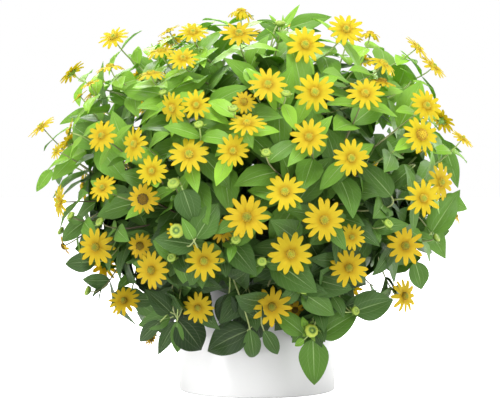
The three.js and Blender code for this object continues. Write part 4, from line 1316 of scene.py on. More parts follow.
@dataclass(frozen=True)
class Finish:
    """A surface: its colour, gloss, relief and how much light comes through it."""

    name: str
    roughness: float
    mottling: float = 0.5
    blotch_scale: float = 90.0
    relief: float = 0.15
    relief_depth: float = 0.0006
    speckle_relief: float = 0.3
    through: float = 0.0
    glow: Colour = (0.3, 0.6, 0.05)
    specular: float = 0.5

    def colour(self, nodes: Nodes) -> tuple[Socket, Socket | None]:
        """The colour before its mottling, and a relief of the finish's own if it has one."""
        raise NotImplementedError

    def material(self, mottle: bpy.types.NodeTree) -> bpy.types.Material:
        """The finish as a material.

        Args:
            mottle: the group of blotches and speckle.

        Returns:
            The material.
        """
        material = bpy.data.materials.new(self.name)
        material.use_nodes = True
        nodes = Nodes(material.node_tree)
        colour, relief = self.colour(nodes)
        inputs = {"Colour": colour, "Amount": self.mottling, "Scale": self.blotch_scale}
        mottled = nodes.add("Group", inputs, node_tree=mottle)
        height = mottled.outputs["Height"]
        if relief is not None:
            height = nodes.math("ADD", nodes.math("MULTIPLY", height, self.speckle_relief), relief)
        inputs = {"Height": height, "Strength": self.relief, "Distance": self.relief_depth}
        bump = nodes.add("Bump", inputs).outputs["Normal"]
        shader = nodes.add("BsdfPrincipled", {
            "Base Color": mottled.outputs["Colour"], "Roughness": self.roughness, "Normal": bump,
            "Specular IOR Level": self.specular})
        surface = shader.outputs["BSDF"]
        if self.through:
            lit = nodes.mix(1.0, colour, self.glow, "SCREEN")
            beyond = nodes.add("BsdfTranslucent", {"Color": lit}).outputs["BSDF"]
            surface = nodes.add("MixShader", {0: self.through, 1: surface, 2: beyond}).outputs[0]
        nodes.add("OutputMaterial", {"Surface": surface})
        return material


@dataclass(frozen=True)
class LeafFinish(Finish):
    """A leaf: darker with age, and with painted shade deep in and low on the mound; a pale midrib, two side
    nerves, faint veins.
    """

    # The stops go from a leaf in deep shade to a well lit one: painted shade and light, chosen by the shade
    # mark.
    stops: Stops = (
        (0.0, (0.013, 0.034, 0.007)), (0.3, (0.060, 0.136, 0.024)), (0.62, (0.160, 0.345, 0.036)),
        (1.0, (0.350, 0.640, 0.055)))
    pale: Colour = (0.52, 0.70, 0.28)
    rib_width: float = 0.028
    rib_paleness: float = 0.75
    nerve: Place = (0.19, 0.004, 0.016)
    nerve_strength: float = 0.22
    veins: float = 9.0
    vein_slant: float = 0.8
    vein_strength: float = 0.12
    line_paleness: float = 0.6

    def colour(self, nodes: Nodes) -> tuple[Socket, Socket | None]:
        """The leaf's green with its nerves, and their relief."""
        across, along = nodes.place()
        slimmer = nodes.math("MULTIPLY", nodes.math("SUBTRACT", 1.25, along), self.rib_width)
        rib = nodes.between(nodes.math("DIVIDE", across, slimmer), 0.35, 1.0, 1, 0)
        nerve = nodes.math("MULTIPLY", nodes.line(across, *self.nerve), self.nerve_strength)
        slant = nodes.math("SUBTRACT", along, nodes.math("MULTIPLY", across, self.vein_slant))
        wave = nodes.math("SINE", nodes.math("MULTIPLY", slant, self.veins * 2 * math.pi))
        vein = nodes.math("MULTIPLY", nodes.between(wave, 0.86, 1.0), self.vein_strength)
        shade = nodes.mark("shade")
        green = nodes.ramp(shade, self.stops)
        lines = nodes.math("ADD", nerve, vein)
        paler = nodes.mix(lines, green, nodes.mix(self.line_paleness, green, self.pale))
        strength = nodes.math("MULTIPLY", rib, nodes.between(shade, 0.05, 0.6, 0.38, 0.8))
        ribbed = nodes.mix(strength, paler, nodes.mix(self.rib_paleness, green, self.pale))
        return ribbed, nodes.math("MULTIPLY", nodes.math("ADD", lines, rib), -1.0)


@dataclass(frozen=True)
class RayFinish(Finish):
    """A bloom's rays: yellow; more orange at the foot, on aged blooms, and as painted shade lower down; with
    two fine grooves.
    """

    foot: Colour = (0.58, 0.36, 0.013)
    # Below: the yellow of young blooms high up, painted as lit, then the orange of aged blooms and of low
    # ones in painted shade.
    young: Colour = (0.70, 0.588, 0.023)
    faded_and_shaded: Colour = (0.66, 0.45, 0.024)
    groove: Place = (0.17, 0.0, 0.06)
    groove_strength: float = 0.10

    def colour(self, nodes: Nodes) -> tuple[Socket, Socket | None]:
        """The rays' yellow, and the grooves."""
        across, along = nodes.place()
        face = nodes.mix(nodes.mark("shade"), self.faded_and_shaded, self.young)
        groove = nodes.line(across, *self.groove)
        base = nodes.between(along, 0.08, 0.42, 0.75, 0)
        darker = nodes.math("ADD", base, nodes.math("MULTIPLY", groove, self.groove_strength))
        return nodes.mix(darker, face, self.foot), nodes.math("MULTIPLY", groove, -1.0)


@dataclass(frozen=True)
class MarkFinish(Finish):
    """A surface whose colour follows one of the mesh's marks, dimmed where little light falls."""

    mark: str = "blush"
    dimming: float = 0.0
    stops: Stops = ((0.0, (0.2, 0.4, 0.05)), (1.0, (0.2, 0.4, 0.05)))

    def colour(self, nodes: Nodes) -> tuple[Socket, Socket | None]:
        """The colour at the mark."""
        colour = nodes.ramp(nodes.mark(self.mark), self.stops)
        if self.dimming:
            dimmed = nodes.between(nodes.mark("shade"), 0, 1, self.dimming, 0)
            colour = nodes.mix(dimmed, colour, (0.0, 0.0, 0.0))
        return colour, None


LEAF = LeafFinish("leaf", roughness=0.42, mottling=0.35, relief=0.5, through=0.34, glow=(0.07, 0.14, 0.0),
                  specular=0.3)
RAY = RayFinish("ray", roughness=0.6, mottling=0.10, relief=0.2, through=0.5, glow=(0.2, 0.12, 0.0),
                specular=0.2)
# The disc is dimmed by the shade mark: painted shade, deeper on lower blooms.
DISC = MarkFinish(
    "disc", roughness=0.75, mottling=0.5, blotch_scale=400.0, specular=0.2, dimming=0.8, stops=(
        (0.0, (0.24, 0.35, 0.045)), (0.16, (0.36, 0.41, 0.042)), (0.38, (0.60, 0.43, 0.026)),
        (0.6, (0.42, 0.25, 0.016)), (0.85, (0.19, 0.13, 0.024)), (1.0, (0.12, 0.08, 0.02))))
# The stops go from shade to light by the shade mark: painted shade and light on bracts, buds and cups.
GREEN = MarkFinish(
    "young_green", roughness=0.5, mottling=0.3, through=0.2, glow=(0.05, 0.1, 0.0), mark="shade", stops=(
        (0.0, (0.03, 0.075, 0.015)), (0.5, (0.15, 0.28, 0.035)), (0.8, (0.30, 0.43, 0.055)),
        (1.0, (0.48, 0.56, 0.065))))
STEM = MarkFinish("stem", roughness=0.55, mottling=0.5, blotch_scale=160.0, relief=0.3, stops=(
    (0.0, (0.32, 0.42, 0.12)), (0.35, (0.27, 0.28, 0.12)), (0.7, (0.13, 0.12, 0.055)),
    (1.0, (0.10, 0.06, 0.04))))
POT = MarkFinish("glazed_pot", roughness=0.32, mottling=0.02, blotch_scale=30.0, relief=0.04, stops=(
    (0.0, (0.57, 0.57, 0.57)), (1.0, (0.57, 0.57, 0.57))))
SOIL = MarkFinish(
    "soil", roughness=0.95, mottling=1.2, blotch_scale=260.0, relief=1.0, specular=0.2, stops=(
        (0.0, (0.012, 0.008, 0.006)), (0.6, (0.035, 0.022, 0.014)), (1.0, (0.10, 0.065, 0.04))))


@dataclass
class Leaves:
    """Leaf blades. Sizes are shares of a leaf's half width unless they say mm.

    A range gives the least and the most of what differs from leaf to leaf.
    """

    mound: Mound
    arch: float
    form: ThinForm = ThinForm(8, 5)
    large_form: ThinForm = ThinForm(15, 7)
    fold: float = 0.26
    fold_range: Range = (0.6, 1.5)
    arch_range: Range = (0.6, 1.3)
    wave: float = 0.10
    waves: float = 1.4
    lean: float = 0.10
    channel_mm: float = 0.25
    channel_width: float = 0.22
    thickness_mm: float = 0.5
    petiole: float = 0.09
    tip: float = 0.015
    fullness: float = 1.1
    youngest: float = 0.6
    young_from: float = 0.85
    low_range: Range = (0.66, 0.86)
    full_range: Range = (0.82, 1.06)
    large_low_range: Range = (0.56, 0.70)
    large_full_range: Range = (0.80, 0.98)

    def outline(self, along: Array, low: Array, full: Array) -> Array:
        """Half width along leaves: low is the power of the share along, and full that of its sine."""
        swell = np.sin(math.pi * np.clip(along, 0, 1) ** low) ** full
        return np.maximum(swell, self.petiole * (1 - along) + self.tip)

    def shades(self, roots: Array, lengths: Array, rng: Random) -> Array:
        """How young and well lit leaves are, from 0 to 1, by their roots' places and their lengths."""
        # Painted light and shade: lighter higher up and nearer the mound's face, darker deep inside and low
        # down.
        height = smooth(70, 285, roots[:, 2])
        depth = smooth(0.45, 0.98, self.mound.nearness(roots)) * (0.4 + 0.6 * smooth(70, 160, roots[:, 2]))
        light = 0.04 + 0.54 * height + 0.34 * depth + 0.12 * smooth(34, 22, lengths)
        return np.clip(light + rng.normal(0, 0.09, len(roots)), 0, 1)

    def grow(self, skin: Skin, blades: Sequence[Blade], rng: Random) -> None:
        """Adds blades to a piece: those with a given painted light and shade in the large form, and then the
        others.
        """
        for large in (True, False):
            chosen = [blade for blade in blades if (blade.painted_lightness is not None) == large]
            if chosen:
                self.sheets(skin, chosen, large, rng)

    def sheets(self, skin: Skin, blades: Sequence[Blade], large: bool, rng: Random) -> None:
        """Adds blades of one form to a piece.

        A leaf's midline bends down by an even arc. Across it, the corners lie at the share across times the
        outline, folded up from the channel along the midrib, and the edges wave. The back lies a thickness
        under the face.

        Args:
            skin: the piece.
            blades: the leaves.
            large: whether they are the large leaves, whose painted light and shade is given.
            rng: draws for what differs from leaf to leaf.
        """
        along, across, layer, faces = (self.large_form if large else self.form).grid()
        along = along - 0.06 * np.sin(2 * math.pi * along)
        root, heading, upper, side = (np.array([getattr(blade, name) for blade in blades])[:, None, :]
                                      for name in ("root", "heading", "upper", "side"))
        length, width = (np.array([getattr(blade, name) for blade in blades])[:, None]
                         for name in ("length", "width"))
        count = len(blades)
        each = (count, 1)
        arch = self.arch * rng.uniform(*self.arch_range, each)
        turn = arch * along
        low, full = rng.uniform(*self.low_range, each), rng.uniform(*self.full_range, each)
        if large:
            low, full = rng.uniform(*self.large_low_range, each), rng.uniform(*self.large_full_range, each)
            # The leaves painted lightest are also taken as the youngest, which are narrower.
            young = [blade.painted_lightness > self.young_from for blade in blades]
            width = width * np.where(young, self.youngest, 1)[:, None]
        half = width * self.fullness / 2 * self.outline(along, low, full)
        ahead = length / arch * np.sin(turn)
        down = length / arch * (1 - np.cos(turn))
        turns = 2 * math.pi * (self.waves * along + rng.uniform(0, 1, each))
        waving = np.sin(turns) * across**2 * self.wave
        lean = rng.normal(0, self.lean, each) * across * along
        fold = self.fold * rng.uniform(*self.fold_range, each) * (np.abs(across) - 0.35 * across**2)
        lift = half * (fold + waving + lean) + layer * self.thickness_mm / 2
        channel = np.exp(-((across / self.channel_width) ** 2)) * self.channel_mm * np.sin(math.pi * along)
        lift = lift - channel * (layer >= 0)
        normal = upper * np.cos(turn)[..., None] + heading * np.sin(turn)[..., None]
        corners = (root + heading * ahead[..., None] - upper * down[..., None]
                   + side * (across * half)[..., None] + normal * lift[..., None])
        shade = self.shades(root[:, 0], length[:, 0], rng)
        # The large leaves take their given painted light and shade instead.
        if large:
            shade = np.array([blade.painted_lightness for blade in blades])
        marks = spread_marks(count, len(along), 0.5 + 0.5 * across, along, shade, rng.uniform(0, 1, count))
        skin.add(corners, [faces], marks, rim=layer == 0)


@dataclass
class Flower:
    """A bloom or a bud on a piece. Sizes are shares of its radius unless they say mm.

    Attributes:
        skin: the piece, with the finishes of Part for a bloom, or of StalkPart for a bud.
        end: the bloom or bud.
        rng: draws for what differs from one to another.
        shade: how well lit the rays are, as is under for the parts under them.
        browning: how brown the disc is, by its age, and lower down also as painted shade.
    """

    skin: Skin
    end: End
    rng: Random
    shade: float = 0
    under: float = 0
    browning: float = 0
    low_mm: float = 80
    high_mm: float = 250
    ray: ThinForm = ThinForm(8, 5)
    ray_counts: tuple[int, int, int] = (11, 12, 15)
    ray_small_mm: float = 16
    ray_scatter: float = 0.045
    ray_foot: float = 0.12
    ray_half: float = 0.142
    ray_height: float = 0.02
    ray_layer: float = 0.008
    ray_thickness_mm: float = 0.3
    tooth: float = 0.035
    tooth_corner: float = 0.03
    channel: float = 0.022
    arch: float = 0.03
    head_sides: int = 14
    cup_profile: Profile = ((0, -0.12), (0.35, -0.115), (0.80, -0.085), (1.00, -0.03), (1.04, 0.015))
    dome_profile: Profile = ((0.96, 0.07), (0.72, 0.12), (0.40, 0.15), (0, 0.16))
    head_width: float = 1.15
    dome: float = 1.35
    florets: int = 38
    floret: RoundForm = RoundForm(2, 5)
    floret_lean: float = 0.75
    floret_heights: Row = (-0.02, 0.0, 0.045, 0.06)
    floret_radii: Range = (0.026, 0.036)
    bract: ThinForm = ThinForm(4, 3)
    bract_scatter: float = 0.1
    bracts: int = 8
    bract_thickness_mm: float = 0.24
    sepal_count: int = 5
    sepal_thickness_mm: float = 0.3
    sepal_foot: float = 0.22
    sepal_size: float = 2.4
    opening_foot_mm: float = 1
    opening_size: float = 1.1
    opening_rays: int = 4
    opening_knob: float = 0.66
    ringed_mm: float = 8.5
    knob_size: float = 1.15
    knob_sides: int = 20
    knob_rib: float = 0.035
    knob_profile: Profile = (
        (0, -0.55), (0.35, -0.50), (0.75, -0.25), (0.98, 0.05), (0.94, 0.34), (0.72, 0.52), (0.50, 0.52),
        (0.40, 0.44), (0.28, 0.42), (0.16, 0.50), (0, 0.50))
    # The shade mark of each ring of a bud's knob, from its foot to its top: painted shade darkens the foot
    # and the groove.
    knob_shades: Row = (0.2, 0.3, 0.5, 0.66, 0.80, 0.86, 0.78, 0.62, 0.64, 0.8, 0.82)
    ringed_shades: Row = (0.2, 0.3, 0.5, 0.72, 0.92, 1.0, 0.78, 0.30, 0.34, 0.8, 0.85)

    @property
    def radius(self) -> float:
        """The bloom's or bud's radius."""
        return self.end.width / 2

    def resized(self, size: float, back: float = 0) -> "Flower":
        """The same at another size, and set back, in mm."""
        place = self.end.place - self.end.axis * back
        return replace(self, end=replace(self.end, place=place, width=self.end.width * size))

    def high(self) -> float:
        """How high up on the plant it is, from 0 to 1."""
        return float(smooth(self.low_mm, self.high_mm, np.array(self.end.place[2])))

    def ring(self, count: int, scatter: float) -> Ways:
        """The ways out and across of thin sheets set round the middle, scattered by this many radians."""
        angles = 2 * math.pi * np.arange(count) / count + self.rng.normal(0, scatter, count)
        return spokes(self.end.axis, angles[:, None, None])

    def lay(self, grid: Grid, ways: Ways, sizes: tuple[Array, Array, Array], shade: float, finish: int,
            most: int | None = None) -> None:
        """Adds thin sheets that run out from the middle.

        Args:
            grid: the sheets' form: shares along and across, layers and faces.
            ways: the ways out and across.
            sizes: shares of the radius for the way out and the half width there, and heights in mm.
            shade: how well lit the sheets are.
            finish: the number of the piece's material.
            most: if given, only so many sheets are added, the leftmost ones.
        """
        along, across, layer, faces = grid
        (out, beside), (run, half, height) = ways, sizes
        sheets = out * (self.radius * run)[..., None] + beside * (self.radius * half * across)[..., None]
        corners = self.end.place + sheets + self.end.axis * height[..., None]
        if most is not None:
            corners = corners[np.argsort(corners[..., 0].mean(1))[:most]]
        marks = spread_marks(len(corners), len(along), 0.5 + 0.5 * across, along, shade, 0)
        self.skin.add(corners, [faces], marks, finish, layer == 0)

    def ray_outline(self, along: Array) -> Array:
        """Half width along a ray: widening to its middle, narrowing beyond it, and rounded at the end."""
        rounding = np.sqrt(1 - np.clip((along - 0.84) / 0.18, 0, 1) ** 2)
        return np.minimum(1, 0.60 + 1.1 * along) * (1 - 0.31 * np.clip(1.6 * along - 0.6, 0, 1)) * rounding

    def rays(self, most: int | None = None) -> None:
        """Adds the ring of rays.

        Each ray runs out from the disc. It rises evenly with a low arch, its middle is a shallow channel, and
        its tip is drawn in at the middle and at both corners, which leaves two blunt teeth.

        Args:
            most: if given, only so many rays are added, the leftmost ones.
        """
        rng, stage = self.rng, self.end.age.value
        few, least, above = self.ray_counts
        count = int(rng.integers(least, above)) if self.end.width > self.ray_small_mm else few
        along, across, layer, faces = self.ray.grid()
        along = 1 - (1 - along) ** 1.6
        ways, each = self.ring(count, self.ray_scatter), (count, 1)
        reach = stage.reach * rng.uniform(0.97, 1.09, each)
        aside, bow = np.abs(across), np.sin(math.pi * along)
        teeth = self.tooth * (1 - 2 * aside) ** 2 + self.tooth_corner * np.clip(2 * aside - 1, 0, 1)
        run = (reach - self.ray_foot) * along * (1 - 0.22 * stage.droop * along)
        run = self.ray_foot + run - teeth * along**6
        half = self.ray_half * self.ray_outline(along) * rng.uniform(0.92, 1.08, each)
        rise = stage.rise + rng.normal(0, 0.03, each)
        droop = stage.droop * rng.uniform(0.6, 1.5, each)
        layers = self.ray_layer * np.where(np.arange(count)[:, None] % 2, 1, -1)
        lift = self.ray_height + layers + rise * along + self.arch * bow - droop * along**2
        lift = lift - self.channel * (1 - across**2) * bow + rng.normal(0, 0.08, each) * half * across
        height = self.radius * lift + layer * self.ray_thickness_mm / 2
        self.lay((along, across, layer, faces), ways, (run, half, height), self.shade, Part.RAY, most)

    def head(self) -> None:
        """Adds the green cup behind the rays with the disc's dome on it, turned from one profile."""
        profile = np.array([*self.cup_profile, *self.dome_profile]) * self.end.width / 2
        profile[:, 0] *= self.head_width * self.end.age.value.disc
        profile[len(self.cup_profile):, 1] *= self.dome
        corners, faces = turned(profile, self.head_sides, self.end.place, self.end.axis)
        bands = [Part.GREEN] * (len(self.cup_profile) - 2) + [Part.DISC] * (len(self.dome_profile) - 1)
        finishes = [np.repeat(parts, self.head_sides) for parts in ([Part.GREEN, Part.DISC], bands)]
        marks = spread_marks(1, corners.shape[1], 0.5, 0.5, self.under, 0.25 + self.browning * 0.6)
        self.skin.add(corners, faces, marks, finishes)

    def disc(self) -> None:
        """Adds the disc's florets, wound by the golden turn over the dome, each a small closed cup."""
        disc, rng, radius = self.end.age.value.disc, self.rng, self.radius
        number = np.arange(self.florets)
        share = np.sqrt((number + 0.5) / self.florets)
        out, _ = spokes(self.end.axis, (number * GOLDEN_TURN)[:, None])
        axis = unit(self.end.axis + out * (self.floret_lean * share**2)[:, None])
        wider = disc / Age.FRESH.value.disc
        foot = self.end.place + out * (radius * disc * share)[:, None]
        foot = foot + self.end.axis * (radius * self.dome * (0.15 - 0.085 * share**2))[:, None]
        heights = radius * np.array(self.floret_heights) * wider
        heights = heights[:, None] * rng.uniform(0.8, 1.25, (self.florets, 1, 1))
        across, beyond = (np.repeat(part[:, None], self.floret.rings, axis=1) for part in square(axis))
        radii = radius * wider * np.array(self.floret_radii)[None, :, None]
        corners = self.floret.carried(foot[:, None] + axis[:, None] * heights, across, beyond, radii)
        ripe = 0.04 + 0.46 * share**2.5 + self.browning * (0.75 - 0.35 * share)
        ripe = np.clip(ripe + rng.normal(0, 0.05, self.florets), 0, 1)
        marks = spread_marks(self.florets, corners.shape[1], 0.5, 0.5, self.shade, ripe)
        self.skin.add(corners, self.floret.faces(), marks, Part.DISC)

    def calyx(self) -> None:
        """Adds the bracts under the rays: short pointed blades that run out from the cup."""
        grid = along, _, layer, _ = self.bract.grid()
        ways = self.ring(self.bracts, self.bract_scatter)
        run = 0.12 + 0.34 * along * self.rng.uniform(0.85, 1.1, (self.bracts, 1))
        half = 0.085 * np.sin(math.pi * (0.25 + 0.75 * along)) + 0.004
        lift = -0.11 + 0.10 * along + 0.35 * self.end.age.value.rise * along
        height = self.radius * lift + layer * self.bract_thickness_mm / 2
        self.lay(grid, ways, (run, half, height), self.under, Part.GREEN)

    def sepals(self) -> None:
        """Adds the pointed bracts that spread under a bud."""
        grid = along, _, layer, _ = self.bract.grid()
        ways = self.ring(self.sepal_count, self.bract_scatter)
        run = 0.10 + 0.62 * along * self.rng.uniform(0.8, 1.15, (self.sepal_count, 1))
        half = 0.16 * np.sin(math.pi * (0.2 + 0.8 * along)) + 0.006
        height = self.radius * (-0.05 + 0.28 * along) + layer * self.sepal_thickness_mm / 2
        self.lay(grid, ways, (run, half, height), self.under, StalkPart.GREEN)

    def knob(self, finish: int) -> None:
        """Adds a bud's round knob in this finish: shallow ribs, and a groove round its flat top's middle."""
        profile = np.array(self.knob_profile) * self.knob_size * self.end.width / 2
        ribs = 1 + self.knob_rib * np.cos(math.pi * np.arange(self.knob_sides))
        corners, faces = turned(profile, self.knob_sides, self.end.place, self.end.axis, ribs)
        ring_shades = self.ringed_shades if self.end.width >= self.ringed_mm else self.knob_shades
        tints = np.concatenate([ring_shades[:1], np.repeat(ring_shades[1:-1], self.knob_sides), ring_shades[-1:]])
        self.skin.add(corners, faces, spread_marks(1, corners.shape[1], 0.5, 0.5, tints[None], 1), finish)

    def bloom(self) -> None:
        """Adds a whole bloom: rays, cup, disc and bracts, or one that has just begun to open."""
        high, stage = self.high(), self.end.age.value
        # Lower blooms are painted darker: painted shade on the rays, the disc and the green under them, and a
        # browner disc.
        shade = 0.56 + 0.44 * high + self.rng.normal(0, 0.08) - stage.fading
        browning = stage.browning + abs(self.rng.normal(0, 0.08)) + 0.10 * (1 - high)
        self.shade, self.browning = float(np.clip(shade, 0, 1)), float(np.clip(browning, 0, 1))
        self.under = 0.35 + 0.4 * high
        if self.end.age is Age.OPENING:
            self.opening()
            return
        self.rays()
        self.head()
        self.disc()
        self.calyx()

    def opening(self) -> None:
        """Adds a bloom that has just begun to open: a bud with its first rays out at one side."""
        self.resized(self.opening_size, self.opening_foot_mm).rays(self.opening_rays)
        self.resized(self.opening_knob).knob(Part.GREEN)

    def bud(self) -> None:
        """Adds a bud: its knob, on small bracts."""
        self.under = 0.55 + 0.25 * self.high()
        self.knob(StalkPart.GREEN)
        self.resized(self.sepal_size, self.end.width * self.sepal_foot).sepals()


@dataclass
class Stems:
    """Main stems and shoots, in mm."""

    form: RoundForm = RoundForm(15, 6)
    main_form: RoundForm = RoundForm(24, 10)
    shoot_foot: float = 0.95
    shoot_tip: float = 0.48
    shaded_below: Range = (110, 235)
    main_blush: Range = (0.9, 0.5)
    most_blush: float = 0.85
    leaf_blush: float = 0.3

    def tube(self, skin: Skin, curves: Sequence[Curve], form: RoundForm, radii: Array,
             blush: Array) -> None:
        """Adds round stems carried along curves, whose sides turn as little as can be from ring to ring.

        Args:
            skin: the piece.
            curves: the stems' middle lines.
            form: rings along each stem, and sides round it.
            radii: the radius at each ring.
            blush: how brown and dark each stem is, stems × rings; on shoots partly painted shade lower down.
        """
        shares = np.linspace(0, 1, form.rings)
        path = np.stack([curve.at(shares) for curve in curves])
        axes = np.stack([curve.heading(shares) for curve in curves])
        side = np.empty_like(axes)
        side[:, 0] = square(axes[:, 0])[0]
        for ring in range(1, form.rings):
            last = side[:, ring - 1]
            side[:, ring] = unit(last - axes[:, ring] * (last * axes[:, ring]).sum(-1, keepdims=True))
        closed = np.concatenate([path[:, :1], path, path[:, -1:]], axis=1)
        corners = form.carried(closed, side, np.cross(axes, side), radii[None, :, None])
        tints = np.concatenate([blush[:, :1], np.repeat(blush, form.sides, axis=1), blush[:, -1:]], axis=1)
        marks = spread_marks(len(curves), corners.shape[1], 0.5, 0.5, 0.6, tints)
        skin.add(corners, form.faces(), marks, StalkPart.STEM)

    def grow(self, skin: Skin, layout: Layout, main: int, shoots: Sequence[Shoot],
             rng: Random) -> None:
        """Adds a main stem and its shoots.

        Args:
            skin: the piece.
            layout: the plant's layout.
            main: the main stem's number, from 0.
            shoots: its shoots.
            rng: draws for how brown each shoot is.
        """
        shares = np.linspace(0, 1, self.main_form.rings)
        radii = layout.main_foot_radius + (layout.main_tip_radius - layout.main_foot_radius) * shares
        blush = self.main_blush[0] - self.main_blush[1] * shares[None]
        self.tube(skin, [layout.mains[main]], self.main_form, radii, blush)
        shares = np.linspace(0, 1, self.form.rings)
        radii = self.shoot_foot + (self.shoot_tip - self.shoot_foot) * shares
        curves = [shoot.curve for shoot in shoots]
        heights = np.array([curve.at(shares)[:, 2] for curve in curves])
        # Shoots are painted darker and browner lower down: painted shade, added to each shoot's own random
        # blush.
        shaded = 0.4 * (1 - smooth(*self.shaded_below, heights))
        green = np.array([[self.leaf_blush if shoot.end.kind is Kind.LEAF else 1.0] for shoot in shoots])
        blush = rng.uniform(0.0, self.most_blush, (len(shoots), 1)) - 0.5 * shares + shaded
        self.tube(skin, curves, self.form, radii, np.clip(blush, 0, 1) * green)


@dataclass(frozen=True)
class Lamp:
    """A square lamp that faces the plant: its place and size in metres, and its power in watts."""

    name: str
    place: Place
    size: float
    power: float


@dataclass
class Studio:
    """The pale floor, the soft lights and the camera, in metres."""

    floor_radius: float = 20.0
    floor_sides: int = 64
    floor_top: float = -0.05  # in mm
    floor_depth: float = 2.95  # in mm
    floor_white: Colour = (0.93, 0.93, 0.93)
    floor_glow: float = 0.95
    around: float = 0.68
    seen: float = 1.0
    lamp_target: Place = (0, 0, 0.16)
    lamps: tuple[Lamp, ...] = (
        Lamp("key", (-0.15, -0.9, 1.6), 0.8, 28.0), Lamp("front", (0.1, -1.5, 0.14), 0.9, 2.8),
        Lamp("left", (-1.5, -0.7, 0.9), 0.9, 10.0), Lamp("right", (1.3, -1.1, 0.5), 0.9, 11.0),
        Lamp("right_back", (1.35, 0.95, 0.6), 0.9, 18.0), Lamp("back", (-0.4, 1.1, 1.4), 0.8, 26.0))
    beam_place: Place = (-1.23, -0.86, 0.03)
    beam_target: Place = (-0.03, -0.05, -0.028)
    beam_angle: float = 5.0
    beam_power: float = 92.0
    beam_blend: float = 0.15
    beam_size: float = 0.05

    def build(self, eye: Eye) -> None:
        """Builds the studio."""
        eye.camera()
        self.floor()
        self.world()
        for lamp in self.lamps:
            data = bpy.data.lights.new(lamp.name, "AREA")
            data.size = lamp.size
            data.energy = lamp.power
            self.aim(bpy.data.objects.new(lamp.name, data), lamp.place, self.lamp_target)
        self.beam()
        bpy.context.scene.view_settings.view_transform = "Standard"

    def floor(self) -> None:
        """Adds a round white floor just under the pot."""
        base = self.floor_top - self.floor_depth
        radius = self.floor_radius / MM
        profile = [(0, base), (radius, base), (radius, self.floor_top), (0, self.floor_top)]
        corners, (ends, bands) = turned(np.array(profile), self.floor_sides)
        mesh = bpy.data.meshes.new("floor")
        mesh.from_pydata(corners[0] * MM, [], [*ends.tolist(), *bands.tolist()])
        mesh.materials.append(self.plain_white())
        floor = bpy.data.objects.new("floor", mesh)
        bpy.context.scene.collection.objects.link(floor)

    def plain_white(self) -> bpy.types.Material:
        """The floor's plain white, which glows for the camera alone."""
        material = bpy.data.materials.new("floor")
        material.use_nodes = True
        nodes = Nodes(material.node_tree)
        seen = nodes.add("LightPath").outputs["Is Camera Ray"]
        shader = nodes.add("BsdfPrincipled", {
            "Base Color": self.floor_white, "Roughness": 0.9, "Specular IOR Level": 0.0,
            "Emission Color": (1.0, 1.0, 1.0),
            "Emission Strength": nodes.math("MULTIPLY", seen, self.floor_glow)})
        nodes.add("OutputMaterial", {"Surface": shader.outputs["BSDF"]})
        return material

    def world(self) -> None:
        """Adds even white light from all round, and a white backdrop for the camera alone."""
        world = bpy.data.worlds.new("studio")
        world.use_nodes = True
        nodes = Nodes(world.node_tree)
        light, backdrop = (
            nodes.add("Background", {"Color": (1.0, 1.0, 1.0), "Strength": strength}).outputs[0]
            for strength in (self.around, self.seen))
        seen = nodes.add("LightPath").outputs["Is Camera Ray"]
        mixed = nodes.add("MixShader", {0: seen, 1: light, 2: backdrop})
        nodes.add("OutputWorld", {"Surface": mixed.outputs[0]})
        bpy.context.scene.world = world

    def beam(self) -> None:
        """Adds a low lamp with a narrow beam, only as high as the part of the pot under the leaves."""
        data = bpy.data.lights.new("pot_beam", "SPOT")
        data.energy = self.beam_power
        data.spot_size = self.beam_angle * DEG
        data.spot_blend = self.beam_blend
        data.shadow_soft_size = self.beam_size
        self.aim(bpy.data.objects.new("pot_beam", data), self.beam_place, self.beam_target)

    def aim(self, lamp: bpy.types.Object, place: Place, target: Place) -> None:
        """Puts a lamp in its place, facing its target."""
        lamp.location = place
        ahead = np.array(target) - np.array(place)
        rise = math.atan2(math.hypot(ahead[0], ahead[1]), -ahead[2])
        lamp.rotation_euler = (rise, 0, math.atan2(-ahead[0], ahead[1]))
        bpy.context.scene.collection.objects.link(lamp)


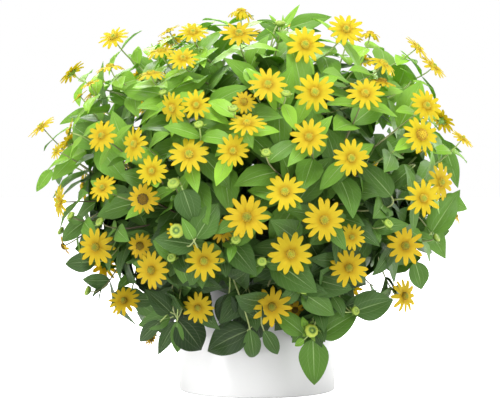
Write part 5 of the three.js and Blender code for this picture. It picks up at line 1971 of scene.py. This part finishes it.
@dataclass
class Plant:
    """The whole potted plant."""

    layout: Layout
    stems: Stems = field(default_factory=Stems)

    def build(self) -> None:
        """Builds every piece."""
        mottle = mottle_group()
        leaf, ray, disc, green, stem, pot, soil = (
            finish.material(mottle) for finish in (LEAF, RAY, DISC, GREEN, STEM, POT, SOIL))
        holder = Skin(pot)
        self.layout.holder.pot(holder)
        holder.piece("glazed_pot", "pot", ["pot"])
        earth = Skin(soil)
        self.layout.holder.soil(earth, np.random.default_rng(SEED))
        earth.piece("potting_soil", "soil", ["soil"])
        for main in range(len(self.layout.mains)):
            self.leafy_stem(main, (leaf, stem, green, ray, disc))
        for number, shoot in enumerate(self.layout.widest, 1):
            flower = Skin(ray, disc, green)
            Flower(flower, shoot.end, np.random.default_rng(SEED + BLOOM_SEED + number)).bloom()
            flower.piece(f"flower_{number:02d}", "petals", [f"bloom_{number:02d}"])

    def leafy_stem(self, main: int, finishes: Sequence[bpy.types.Material]) -> None:
        """Builds a main stem's pieces: its leaves, its stems with the buds, and its smaller blooms.

        Args:
            main: the main stem's number, from 0.
            finishes: the leaf, stem, green, ray and disc materials.
        """
        leaf, stem, green, ray, disc = finishes
        node = f"leafy_stem_{main + 1}"
        rng = np.random.default_rng(SEED + main)
        shoots = [shoot for shoot in self.layout.shoots if shoot.main == main]
        foliage = Skin(leaf)
        blades = [blade for shoot in shoots for blade in shoot.blades] + self.layout.main_blades[main]
        Leaves(self.layout.mound, self.layout.leaf_arch).grow(foliage, blades, rng)
        foliage.piece(f"leaves_{main + 1}", "foliage", [node])
        stalks = Skin(stem, green)
        self.stems.grow(stalks, self.layout, main, shoots, rng)
        for shoot in shoots:
            if shoot.end.kind is Kind.BUD:
                Flower(stalks, shoot.end, rng).bud()
        stalks.piece(f"stems_{main + 1}", "foliage", [node])
        small = [shoot for shoot in shoots
                 if shoot.end.kind is Kind.BLOOM and shoot not in self.layout.widest]
        if small:
            flowers = Skin(ray, disc, green)
            for shoot in small:
                Flower(flowers, shoot.end, rng).bloom()
            flowers.piece(f"small_flowers_{main + 1}", "petals", [node])


def main() -> None:
    """Builds the studio and the plant."""
    logging.basicConfig(level=logging.INFO, format="%(name)s: %(message)s")
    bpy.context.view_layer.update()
    layout = Layout()
    Studio().build(layout.eye)
    Plant(layout).build()
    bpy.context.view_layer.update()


if __name__ == "__main__":
    main()
